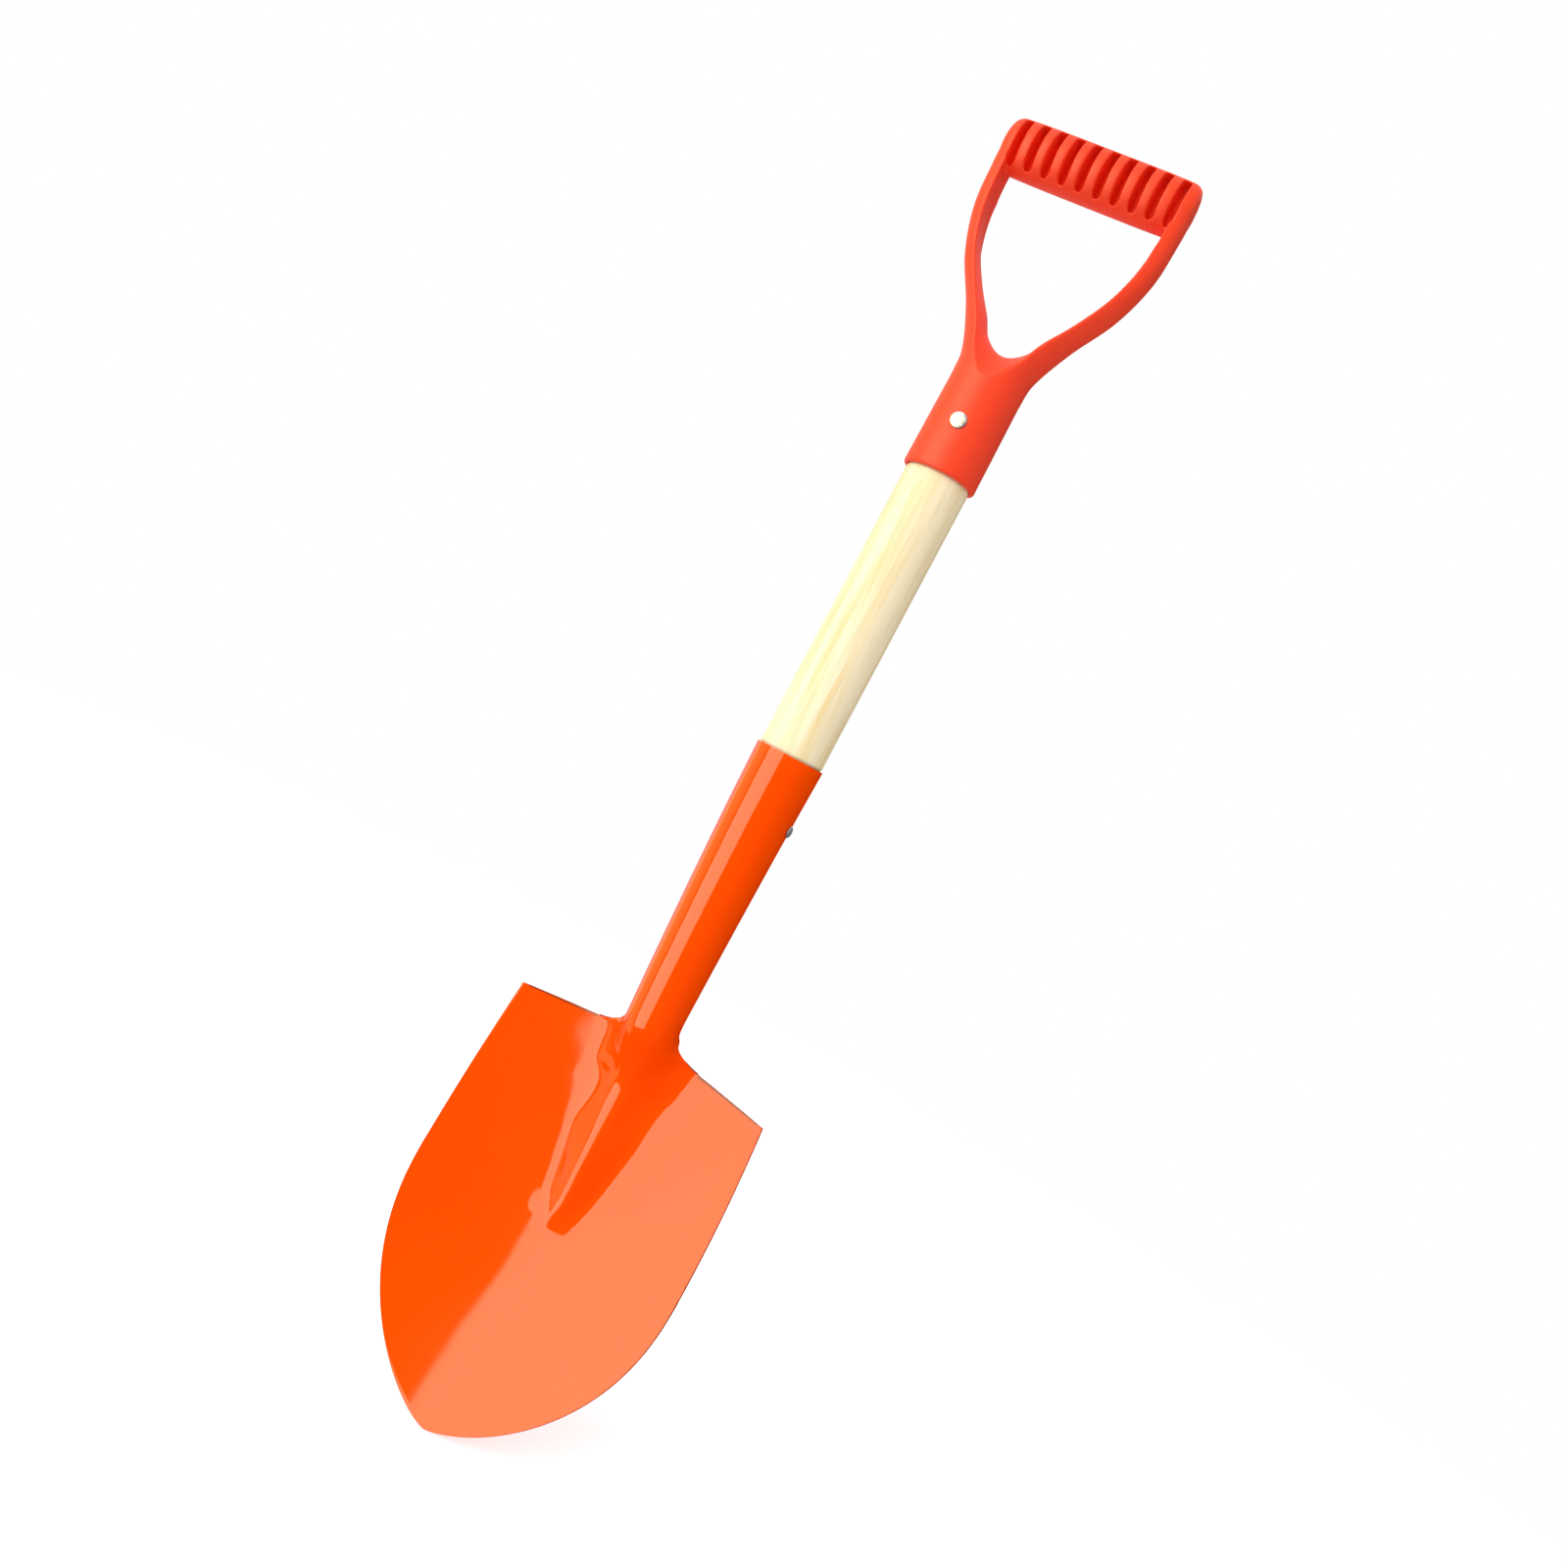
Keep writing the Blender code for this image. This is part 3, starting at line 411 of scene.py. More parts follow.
def finish_material(tree, values, tone, rough, normal, **more):
    """Join the patterns in one Principled shader and lead it to the output."""
    links = {"Base Color": tone, "Roughness": rough, "Normal": normal, **more}
    add_node(tree, "OutputMaterial",
             links={"Surface": add_node(tree, "BsdfPrincipled", values, links)})


def enamel_material(name, color):
    """Baked enamel: glossy paint that levels out, with a faint orange peel.

    The eye sees a clear edge where a lamp is reflected, drawn slightly wavy by the
    pressed sheet below.
    """
    material, tree = new_material(name)
    grid = grid_per_metre(tree)
    # Waves of the pressed sheet, about 28 mm long
    waves = add_node(tree, "TexNoise", {"Scale": 1 / 28, "Detail": 1.0}, {"Vector": grid})
    # Orange peel of the paint, drawn at 2.2 mm so that it shows
    peel = add_node(tree, "TexNoise", {"Scale": 1 / 2.2, "Detail": 2.0}, {"Vector": grid})
    # Slightly thicker and thinner paint, over about 60 mm
    cloud = add_node(tree, "TexNoise", {"Scale": 1 / 60, "Detail": 3.0}, {"Vector": grid})
    wave_bump = add_node(tree, "Bump", {"Strength": 1.0, "Distance": 0.00022}, {"Height": waves})
    bump = add_node(tree, "Bump", {"Strength": 0.35, "Distance": 0.000012},
                    {"Height": peel, "Normal": wave_bump})
    tone = add_node(tree, "Mix", {6: shade(color), 7: shade(color, 0.93)}, {0: cloud},
                    data_type="RGBA").outputs[2]
    rough = add_node(tree, "MapRange", {"To Min": 0.055, "To Max": 0.10}, {"Value": peel})
    # The gloss loses strength where the paint is seen nearly edge on
    slant = add_node(tree, "LayerWeight", {"Blend": 0.5})
    gloss = add_node(tree, "MapRange", {"From Min": 0.66, "From Max": 0.86,
                                        "To Min": 0.5, "To Max": 0.0},
                     {"Value": slant.outputs["Facing"]})
    finish_material(tree, {"IOR": 1.36}, tone, rough, bump, **{"Specular IOR Level": gloss})
    return material


def wood_material(name, wood, streak):
    """Turned pale hardwood, sanded and left unvarnished: soft streaks along the shaft,
    fine darker pores, and a dull sheen."""
    material, tree = new_material(name)
    # Growth streaks 5 mm wide and about 90 mm long
    long_grid = grid_per_metre(tree, (200.0, 200.0, 11.0), (0.02, 0.03, 0.0))
    streaks = add_node(tree, "TexNoise", {"Scale": 1.0, "Detail": 3.0, "Roughness": 0.55,
                                          "Distortion": 0.4}, {"Vector": long_grid})
    streak_share = add_node(tree, "MapRange", {"From Min": 0.42, "From Max": 0.68},
                            {"Value": streaks})
    # Pores 0.7 mm wide and 14 mm long
    pores = add_node(tree, "TexNoise", {"Scale": 1.0, "Detail": 2.0},
                     {"Vector": grid_per_metre(tree, (1430.0, 1430.0, 70.0))})
    pore_share = add_node(tree, "MapRange", {"From Min": 0.60, "From Max": 0.74, "To Max": 0.25},
                          {"Value": pores})
    streaky = add_node(tree, "Mix", {6: shade(wood), 7: shade(streak)}, {0: streak_share},
                       data_type="RGBA").outputs[2]
    tone = add_node(tree, "Mix", {7: shade(streak, 0.62)}, {0: pore_share, 6: streaky},
                    data_type="RGBA").outputs[2]
    bump = add_node(tree, "Bump", {"Strength": 0.5, "Distance": 0.00006}, {"Height": pores})
    rough = add_node(tree, "MapRange", {"To Min": 0.48, "To Max": 0.66}, {"Value": streaks})
    finish_material(tree, {"IOR": 1.45, "Specular IOR Level": 0.1}, tone, rough, bump)
    return material


def plastic_material(name, color):
    """Moulded polypropylene, coloured through: half-gloss from a polished mould, with a
    fine spark-eroded grain and a faint parting line along both sides."""
    material, tree = new_material(name)
    grid = grid_per_metre(tree)
    # Mould grain, drawn at 0.9 mm so that it shows
    grain = add_node(tree, "TexNoise", {"Scale": 1 / 0.9, "Detail": 2.0}, {"Vector": grid})
    # Sink and flow of the moulding, over about 25 mm
    flow = add_node(tree, "TexNoise", {"Scale": 1 / 25, "Detail": 2.0}, {"Vector": grid})
    # Parting line 0.35 mm wide, in the plane of the shaft's axis
    axes = add_node(tree, "SeparateXYZ", links={0: grid})
    away = add_node(tree, "Math", links={0: axes.outputs["Y"]}, operation="ABSOLUTE")
    line = add_node(tree, "MapRange", {"From Min": 0.0, "From Max": 0.35, "To Min": 1.0,
                                       "To Max": 0.0}, {"Value": away})
    flow_bump = add_node(tree, "Bump", {"Strength": 0.6, "Distance": 0.00018}, {"Height": flow})
    grain_bump = add_node(tree, "Bump", {"Strength": 0.25, "Distance": 0.00002},
                          {"Height": grain, "Normal": flow_bump})
    bump = add_node(tree, "Bump", {"Strength": 0.6, "Distance": 0.00008},
                    {"Height": line, "Normal": grain_bump})
    tone = add_node(tree, "Mix", {6: shade(color), 7: shade(color, 0.9)}, {0: flow},
                    data_type="RGBA").outputs[2]
    rough = add_node(tree, "MapRange", {"To Min": 0.42, "To Max": 0.54}, {"Value": grain})
    finish_material(tree, {"IOR": 1.49, "Specular IOR Level": 0.2}, tone, rough, bump)
    return material


def zinc_material(name, color):
    """Bright zinc plate on pressed steel, slightly dulled: a soft mirror with small dents
    from the setting tool, whose hollows are painted a darker grey as shade."""
    material, tree = new_material(name)
    # Dents about 1.4 mm across
    dents = add_node(tree, "TexNoise", {"Scale": 1 / 1.4, "Detail": 2.0},
                     {"Vector": grid_per_metre(tree)})
    bump = add_node(tree, "Bump", {"Strength": 0.8, "Distance": 0.00022}, {"Height": dents})
    # Painted shade: the hollows of the dents are painted a darker grey
    share = add_node(tree, "MapRange", {"From Min": 0.35, "From Max": 0.7}, {"Value": dents})
    tone = add_node(tree, "Mix", {6: shade(color, 0.55), 7: shade(color)}, {0: share},
                    data_type="RGBA").outputs[2]
    rough = add_node(tree, "MapRange", {"To Min": 0.34, "To Max": 0.55}, {"Value": dents})
    finish_material(tree, {"Metallic": 0.65}, tone, rough, bump)
    return material


# Shape of the blade
RIDGE_COLUMNS = 40
WING_COLUMNS = 32
SOCKET_ROWS = 26
OPEN_BACK_ROWS = 28
FILLET_ROWS = 12
BLADE_ROWS = 100
TREAD_SHADE_LINE = 0.006
SECTION_STEPS = 160
SLOPE_STEP = 0.0005
SHARPENING_POWER = 1.8
ARC_ROOM = 0.88
LEAST_HEIGHT = 0.0001
LEAST_LEAN = math.radians(24.5)
FLARE_POWER = 3
CREST_LINE = [(0.0, 0.0), (0.035, 0.027), (0.074, 0.080), (0.113, 0.160), (0.156, 0.275),
              (0.191, 0.378), (0.230, 0.490), (0.270, 0.593), (0.309, 0.677), (0.340, 0.720),
              (0.387, 0.756), (0.426, 0.772), (0.582, 0.804), (0.738, 0.840), (0.816, 0.872),
              (0.895, 0.917), (1.0, 1.0)]
BEND_POWER = 1.5
OPEN_BACK_POWER = 3.0
EDGE_LEAN = 0.23
STRIP_SHARE = 0.22
POINT_LENGTH_POWER = 2.22
POINT_WIDTH_POWER = 0.70
TREAD_MARGIN = 0.0001


class PieceShape:
    """Keeps a copy of each size of a piece under the size's own name."""

    def __init__(self, sizes):
        for name in type(sizes).__annotations__:
            setattr(self, name, getattr(sizes, name))


class BladeShape(PieceShape):
    """Where the points of the sheet lie: rolled socket, hollow ridge and dished blade."""

    def __init__(self, sizes):
        super().__init__(sizes)
        self.mouth_z = MOUTH_Z
        self.neck_z = MOUTH_Z - self.socket_length
        self.tread_z = self.neck_z - self.tread_rise
        self.levels = self.levels_above_neck()
        self.tread_inner = self.inner_point(RIDGE_COLUMNS, len(self.levels)).x

    def socket_radius(self, z):
        share = clamp((self.mouth_z - z) / self.socket_length)
        return mix(self.mouth_diameter, self.neck_diameter, share) / 2

    def socket_axis_y(self, z):
        bend = self.neck_bend
        share = clamp((self.neck_z + bend - z) / bend)
        return self.neck_set_back * share ** BEND_POWER

    def side_half_width(self, t):
        share = clamp(1 - t / self.widest_below)
        return mix(self.width, self.tread_width, share * share) / 2

    def reach(self, across):
        """How far below the tread the blade reaches, at a share of its half width."""
        point = self.length - self.widest_below
        fill = clamp(1 - across ** (1 / POINT_WIDTH_POWER))
        return self.widest_below + point * fill ** (1 / POINT_LENGTH_POWER)

    def outline_half_width(self, t):
        widest = self.widest_below
        if t <= widest:
            return self.side_half_width(t)
        share = (t - widest) / (self.length - widest)
        full = clamp(1 - share ** POINT_LENGTH_POWER)
        return self.width / 2 * full ** POINT_WIDTH_POWER

    def plate_y(self, x, t):
        """Front surface of the dished blade, whose edge runs forward to the tip."""
        half = self.outline_half_width(t)
        down = t / self.length
        forward = self.set_back + self.tip_forward
        edge = self.set_back - forward * mix(down * down, down, EDGE_LEAN)
        tread_bow = self.dish_at_tread / (self.tread_width / 2) ** 2
        full_bow = self.dish_depth / (self.width / 2) ** 2
        bow = mix(tread_bow, full_bow, ease(t / self.dish_run_in))
        return edge + bow * (half * half - x * x)

    def plate_slope(self, x, t):
        rise = self.plate_y(x + SLOPE_STEP, t) - self.plate_y(x - SLOPE_STEP, t)
        return rise / (2 * SLOPE_STEP)

    def ridge_share(self, t):
        return clamp((t + self.tread_rise) / self.ridge_length)

    def crest_y(self, z):
        """Front line of the socket, and below the neck of the ridge."""
        start = self.neck_z + self.crest_bend
        if z >= start:
            return self.socket_axis_y(z) - self.socket_radius(z)
        length = self.ridge_length
        top = self.crest_y(start)
        bottom = self.plate_y(0.0, length - self.tread_rise)
        down = (start - z) / (self.crest_bend + length)
        return mix(top, bottom, curve_value(CREST_LINE, down))

    def ridge_turns(self, t):
        """The ridge's half section: (length, turn) of crest arc, flank and root arc."""
        share = self.ridge_share(t)
        base = mix(self.ridge_base, self.ridge_tip, share) / 2
        height = max(self.plate_y(base, t) - self.crest_y(self.tread_z - t), LEAST_HEIGHT)
        round_share = (1 - share) ** SHARPENING_POWER
        crest = mix(self.crest_radius, self.neck_diameter / 2, round_share)
        room = ARC_ROOM * (base * base + height * height) / (2 * height)
        flare = self.root_flare * (1 - share) ** FLARE_POWER
        root = min(self.root_radius + flare, room - crest)
        wanted = base * math.sin(LEAST_LEAN) - height * math.cos(LEAST_LEAN)
        both = max(crest + root, min(wanted / (1 - math.cos(LEAST_LEAN)), room))
        crest *= (both / (crest + root)) ** share
        root = both - crest
        out = math.atan(self.plate_slope(base, t))
        across = base + root * math.sin(out)
        rise = height + root * (1 - math.cos(out))
        flank = math.sqrt(max(across ** 2 + (rise - both) ** 2 - both ** 2, 0.0))
        lean = math.atan2(rise - both, across) + math.atan2(both, flank)
        return [(crest * lean, lean), (flank, 0.0), (root * (lean - out), out - lean)]

    @lru_cache(maxsize=None)
    def ridge_section(self, t):
        """Points of the ridge's half section, from its crest to the blade."""
        turns = self.ridge_turns(t)
        total = sum(length for length, _ in turns)
        points = []
        for k in range(SECTION_STEPS + 1):
            run = total * k / SECTION_STEPS
            x, y, angle = 0.0, self.crest_y(self.tread_z - t), 0.0
            for length, turn in turns:
                part = min(run, length)
                if part > 0.0:
                    bend = turn * part / length
                    chord = part * math.sin(bend / 2) / (bend / 2) if bend else part
                    x += chord * math.cos(angle + bend / 2)
                    y += chord * math.sin(angle + bend / 2)
                    angle += bend
                    run -= part
            points.append((x, min(y, self.plate_y(x, t))))
        return points

    def socket_section(self, z):
        """Points of the socket's half section, from the front to its seam at the back."""
        radius = self.socket_radius(z)
        half_turn = math.pi - self.seam / 2 / radius
        points = []
        for k in range(SECTION_STEPS + 1):
            angle = half_turn * k / SECTION_STEPS
            depth = self.socket_axis_y(z) - radius * math.cos(angle)
            points.append((radius * math.sin(angle), depth))
        return points

    def open_share(self, z):
        """0 where the socket is closed, 1 at the neck."""
        return ease(1 - (z - self.neck_z) / self.open_back) ** OPEN_BACK_POWER

    @lru_cache(maxsize=None)
    def half_section(self, z):
        """Closed socket above, open ridge below, and between them a blend of both."""
        if z <= self.neck_z:
            return self.ridge_section(self.tread_z - z)
        opened = self.open_share(z)
        shift = self.crest_y(z) - self.crest_y(self.neck_z)
        ridge = self.ridge_section(-self.tread_rise)
        return [(mix(a[0], b[0], opened), mix(a[1], b[1] + shift, opened))
                for a, b in zip(self.socket_section(z), ridge)]

    def neck_cut(self, above_neck):
        """How much narrower the sheet is cut above the tread, in a rounded corner."""
        radius = self.neck_fillet
        drop = clamp(radius - above_neck, 0.0, radius)
        return math.sqrt(radius ** 2 - drop ** 2) * self.open_share(self.neck_z + above_neck)

    def levels_above_neck(self):
        """Heights above the neck of the socket's rows of points, top first."""
        full, opening = self.socket_length, self.open_back
        fillet = self.neck_fillet
        high = [mix(full, opening, k / SOCKET_ROWS) for k in range(SOCKET_ROWS)]
        middle = [mix(opening, fillet, k / OPEN_BACK_ROWS) for k in range(OPEN_BACK_ROWS)]
        low = [fillet * (1 - math.sin(math.pi / 2 * k / FILLET_ROWS)) for k in range(FILLET_ROWS)]
        return high + middle + low

    def inner_point(self, column, row):
        """A point of the socket, the ridge or the strip of blade below the ridge."""
        share = column / RIDGE_COLUMNS
        if row < len(self.levels):
            above = self.levels[row]
            z = self.neck_z + above
            section = self.half_section(z)
            run = share * (section_length(section) - self.neck_cut(above))
            x, y = point_on_section(section, run)
            return Vector((x, y, z))
        rise, ridge = self.tread_rise, self.ridge_length
        down = self.way_down(row - len(self.levels))
        t = mix(-rise, self.reach(share * STRIP_SHARE), down)
        if t < ridge - rise:
            section = self.half_section(self.tread_z - t)
            x, y = point_on_section(section, share * section_length(section))
            return Vector((x, y, self.tread_z - t))
        ridge_down = ridge / (self.length + rise)
        spread = ease((down - ridge_down) / (1 - ridge_down))
        x = share * mix(self.ridge_tip / 2, STRIP_SHARE * self.width / 2, spread)
        return Vector((x, self.plate_y(x, t), self.tread_z - t))

    def way_down(self, row):
        """Share of the way from tread to tip; the first row lies close to the edge and bounds the
        band of painted shade along the tread.
        """
        return TREAD_SHADE_LINE if row == 1 else row / BLADE_ROWS

    @lru_cache(maxsize=None)
    def strip_edge(self, row):
        return self.inner_point(RIDGE_COLUMNS, len(self.levels) + row)

    def wing_point(self, column, row):
        """A point of the blade beside the ridge; row 0 lies on the tread."""
        share = column / WING_COLUMNS
        down = self.way_down(row)
        spread = math.sin(math.pi / 2 * share)
        nominal = mix(STRIP_SHARE, 1.0, spread)
        outer = self.tread_width / 2
        across = mix(self.tread_inner, outer, share)
        inward = clamp((outer - across) / (outer - self.tread_inner))
        t = mix(-self.tread_rise * inward, self.reach(nominal), down)
        half = self.width / 2
        if t < self.widest_below:
            half = self.side_half_width(t)
        near = mix(self.strip_edge(row).x / half, 1.0, mix(share, spread, down))
        x = half * mix(near, nominal, ease(2 * down - 1))
        return Vector((x, self.plate_y(x, t), self.tread_z - t))

    def tread_height(self, x):
        """Level of the tread's flat edge at a distance from the middle."""
        outer = self.tread_width / 2
        inward = (outer - abs(x)) / (outer - self.tread_inner)
        return self.tread_z + self.tread_rise * inward


def section_length(points):
    return sum(math.dist(a, b) for a, b in zip(points, points[1:]))


def point_on_section(points, run):
    """The point at a developed length."""
    for a, b in zip(points, points[1:]):
        span = math.dist(a, b)
        if run <= span:
            break
        run -= span
    share = clamp(run / span)
    return mix(a[0], b[0], share), mix(a[1], b[1], share)


class SHOVEL_OT_blade(Operator):
    """Model the blade with its ridge and socket from one sheet of steel"""
    bl_idname = "garden_shovel.add_blade"
    bl_label = "Add Blade"

    def execute(self, context):
        sizes = context.scene.shovel_blade
        shape = BladeShape(sizes)
        columns = RIDGE_COLUMNS + WING_COLUMNS
        rows = len(shape.levels) + BLADE_ROWS
        deselect_all()
        bpy.ops.mesh.primitive_grid_add(x_subdivisions=2 * columns, y_subdivisions=rows, size=2.0)
        blade = just_added("blade_sheet")
        for name, color in (("baked_enamel", sizes.enamel), ("baked_enamel_on_edges", sizes.edge)):
            blade.data.materials.append(enamel_material(name, color))
        # Painted shade: a thin band of faces along the front of each tread takes the darker edge
        # enamel, for the dark line under the tread's edge
        for face in blade.data.polygons:
            column = abs(face.center.x) * columns
            row = (1 - face.center.y) / 2 * rows - len(shape.levels)
            if column > RIDGE_COLUMNS and 0 < row < 1:
                face.material_index = 1
        for vert in blade.data.vertices:
            column = round(vert.co.x * columns)
            row = round((1 - vert.co.y) / 2 * rows)
            side = -1 if column < 0 else 1
            if abs(column) <= RIDGE_COLUMNS:
                place = shape.inner_point(abs(column), row)
            elif row >= len(shape.levels):
                place = shape.wing_point(abs(column) - RIDGE_COLUMNS, row - len(shape.levels))
            else:
                vert.co = (0.0, 0.0, 1.0)
                continue
            vert.co = (side * place.x, place.y, place.z)
        select_by_place(blade, lambda vert: vert.co.z > 0.5)
        bpy.ops.mesh.delete(type="VERT")
        bpy.ops.mesh.select_all(action="SELECT")
        bpy.ops.mesh.normals_make_consistent(inside=False)
        leave_edit()
        front = min(blade.data.polygons, key=lambda face: face.center.y)
        if front.normal.y > 0:
            blade.data.flip_normals()
        # The sheet's cut edges take the darker edge enamel: enamel drawn thin there, darkened
        # further as painted shade along the edges
        apply_modifier(blade, "SOLIDIFY", thickness=sizes.sheet, offset=-1.0,
                       use_even_offset=True, use_rim=True, material_offset_rim=1)
        for vert in blade.data.vertices:
            level = shape.tread_height(vert.co.x)
            on_tread = abs(vert.co.x) > shape.tread_inner - TREAD_MARGIN
            if on_tread and abs(vert.co.z - level) < sizes.sheet / 2:
                vert.co.z = level
        nail = context.scene.shovel_fixings
        nail_z = MOUTH_Z - nail.nail_below_mouth
        hole = rod_cutter(nail.nail_shank / 2 + context.scene.shovel_shaft.gap,
                          (0.0, 0.0, nail_z), (sizes.mouth_diameter, 0.0, nail_z), sides=32)
        join_shape(blade, hole, "DIFFERENCE")
        # The bevels take the darker edge enamel too, as painted shade along the edges
        apply_modifier(blade, "BEVEL", width=sizes.edge_bevel, segments=2, limit_method="ANGLE",
                       angle_limit=math.radians(55), use_clamp_overlap=True, material=1)
        dress(blade, "blade")
        return {"FINISHED"}


SHAFT_ROWS = 24


class SHOVEL_OT_shaft(Operator):
    """Turn the wooden shaft"""
    bl_idname = "garden_shovel.add_shaft"
    bl_label = "Add Shaft"

    def execute(self, context):
        sizes = context.scene.shovel_shaft
        shape = BladeShape(context.scene.shovel_blade)
        shown, tenon = sizes.diameter / 2, sizes.tenon / 2
        top = HANDLE_RIM_Z + sizes.in_plastic
        bottom = MOUTH_Z - sizes.in_steel
        rim = HANDLE_RIM_Z - sizes.gap
        soft = sizes.chamfer / 3

        def in_steel(z):
            return shape.socket_radius(z) - shape.socket_axis_y(z) - shape.sheet - sizes.gap

        profile = [
            (0.0, top),
            (tenon - sizes.chamfer, top),
            (tenon, top - sizes.chamfer),
            (tenon, rim),
            (shown - soft, rim),
            (shown - soft / 4, rim - soft / 4),
        ]
        for k in range(SHAFT_ROWS + 1):
            profile.append((shown, mix(rim - soft, MOUTH_Z + 3 * soft, k / SHAFT_ROWS)))
        profile += [
            (shown - soft / 4, MOUTH_Z + 1.6 * soft),
            (in_steel(MOUTH_Z), MOUTH_Z + sizes.gap),
            (in_steel(bottom + sizes.chamfer), bottom + sizes.chamfer),
            (in_steel(bottom) - sizes.chamfer, bottom),
            (0.0, bottom),
        ]
        shaft = spun_body("wooden_shaft", profile, steps=96)
        dress(shaft, "shaft",
              [wood_material("sanded_pale_hardwood", sizes.wood, sizes.streak)])
        return {"FINISHED"}


# Shape of the handle
RING_SIDES = 96
YOKE_ROWS = 60
OPENING_ROWS = 40
OPENING_LAYERS = 12
YOKE_SHAPE = [(0.0, 0.0), (0.125, 0.035), (0.327, 0.32), (0.538, 0.71), (0.76, 0.94), (1.0, 1.0)]
OPENING_SHAPE = [(0.0, 0.0), (0.17, 0.16), (0.28, 0.27), (0.43, 0.39), (0.59, 0.62),
                 (0.74, 0.84), (0.87, 0.96), (1.0, 1.0)]
YOKE_SPREAD = 0.91
SQUARENESS = 4.0
SADDLE_POWER = 1.6
ARM_INSET = 0.0006
RIM_ROWS = 6
BAR_ROWS = 16
BAR_END_ROWS = 12
POCKET_ARC_ROWS = 16


def oval(half_width, half_depth, squareness=2.0):
    """Points of a ring, from an ellipse towards a rounded rectangle."""
    ring = []
    for k in range(RING_SIDES):
        angle = 2 * math.pi * (k + 0.5) / RING_SIDES
        across, deep = (math.copysign(abs(part) ** (2 / squareness), part)
                        for part in (math.cos(angle), math.sin(angle)))
        ring.append((half_width * across, half_depth * deep))
    return ring


def level_oval(half_width, half_depth, z, squareness=2.0):
    return [(x, y, z) for x, y in oval(half_width, half_depth, squareness)]


class HandleShape(PieceShape):
    """Where the points of the moulded handle lie."""

    def __init__(self, sizes):
        super().__init__(sizes)
        self.axis_z = sizes.grip_height / 2
        self.yoke_z = HANDLE_RIM_Z + sizes.socket_length

    def half_width(self, z):
        if z <= self.yoke_z:
            share = (z - HANDLE_RIM_Z) / self.socket_length
            return mix(self.socket_diameter, self.socket_top, share) / 2
        share = clamp((z - self.yoke_z) / (self.axis_z - self.yoke_z) / YOKE_SPREAD)
        return mix(self.socket_top, self.width, curve_value(YOKE_SHAPE, share)) / 2

    def half_depth(self, z):
        if z <= self.yoke_z:
            return self.half_width(z)
        share = ease((z - self.yoke_z) / (self.axis_z - self.yoke_z))
        return mix(self.socket_top, self.arm_depth, share) / 2

    def body_rings(self):
        rounding = self.rim_rounding
        rings = []
        for k in range(RIM_ROWS + 1):
            angle = math.pi / 2 * k / RIM_ROWS
            z = HANDLE_RIM_Z + rounding * (1 - math.sin(angle))
            inset = rounding * (1 - math.cos(angle))
            rings.insert(0, level_oval(self.half_width(z) - inset, self.half_depth(z) - inset, z))
        for k in range(YOKE_ROWS + 1):
            share = k / YOKE_ROWS
            z = mix(self.yoke_z, self.axis_z, share)
            squareness = mix(2.0, SQUARENESS, ease(share))
            half_width = self.half_width(z) - ARM_INSET * share
            rings.append(level_oval(half_width, self.half_depth(z), z, squareness))
        return rings

    def opening_outline(self, y):
        """The hand opening's outline at a depth: its bottom drops towards front and back."""
        half = self.width / 2 - self.arm_width
        away = abs(y) / (self.socket_top / 2)
        bottom = -self.opening - self.saddle * away ** SADDLE_POWER
        right = []
        for k in range(OPENING_ROWS + 1):
            root = k / OPENING_ROWS
            x = half * curve_value(OPENING_SHAPE, root)
            right.append((x, y, mix(bottom, 0.0, root * root)))
        right.append((half, y, self.axis_z + self.grip_rounding / 2))
        return right + [(-x, depth, z) for x, depth, z in reversed(right) if x > 0]

    def grip_rings(self):
        """The bar across the arms, oval in section; its ends take the arms' outer shape."""
        half = self.width / 2
        rounding = self.grip_rounding
        flat = 1 - (self.grip_flat / self.grip_depth) ** SQUARENESS
        end = half * flat ** (1 / SQUARENESS)
        straight = end - rounding
        places = [straight * math.sin(math.pi / 2 * k / BAR_ROWS) for k in range(BAR_ROWS)]
        places += [end - rounding * math.cos(math.pi / 2 * k / BAR_END_ROWS)
                   for k in range(BAR_END_ROWS + 1)]
        rings = []
        for x in [-place for place in reversed(places[1:])] + places:
            taper = (1 - (abs(x) / half) ** SQUARENESS) ** (1 / SQUARENESS)
            over = max(abs(x) - straight, 0.0)
            drop = rounding - math.sqrt(rounding ** 2 - over ** 2)
            ring = oval(self.grip_depth / 2 * taper, self.grip_height / 2 - drop)
            rings.append([(x, y, self.axis_z + z) for y, z in ring])
        return rings

    def pocket_rings(self):
        """Outline of one pocket, square at the top and round at the bottom."""
        half = self.pocket_width / 2
        bottom = self.axis_z - self.pocket_height / 2
        top = self.axis_z + self.pocket_height / 2
        outline = [(half, top), (-half, top)]
        for k in range(POCKET_ARC_ROWS + 1):
            angle = math.pi + math.pi * k / POCKET_ARC_ROWS
            outline.append((half * math.cos(angle), bottom + half + half * math.sin(angle)))
        return [[(x, y, z) for x, z in outline]
                for y in (-self.grip_depth, self.pocket_floor)]


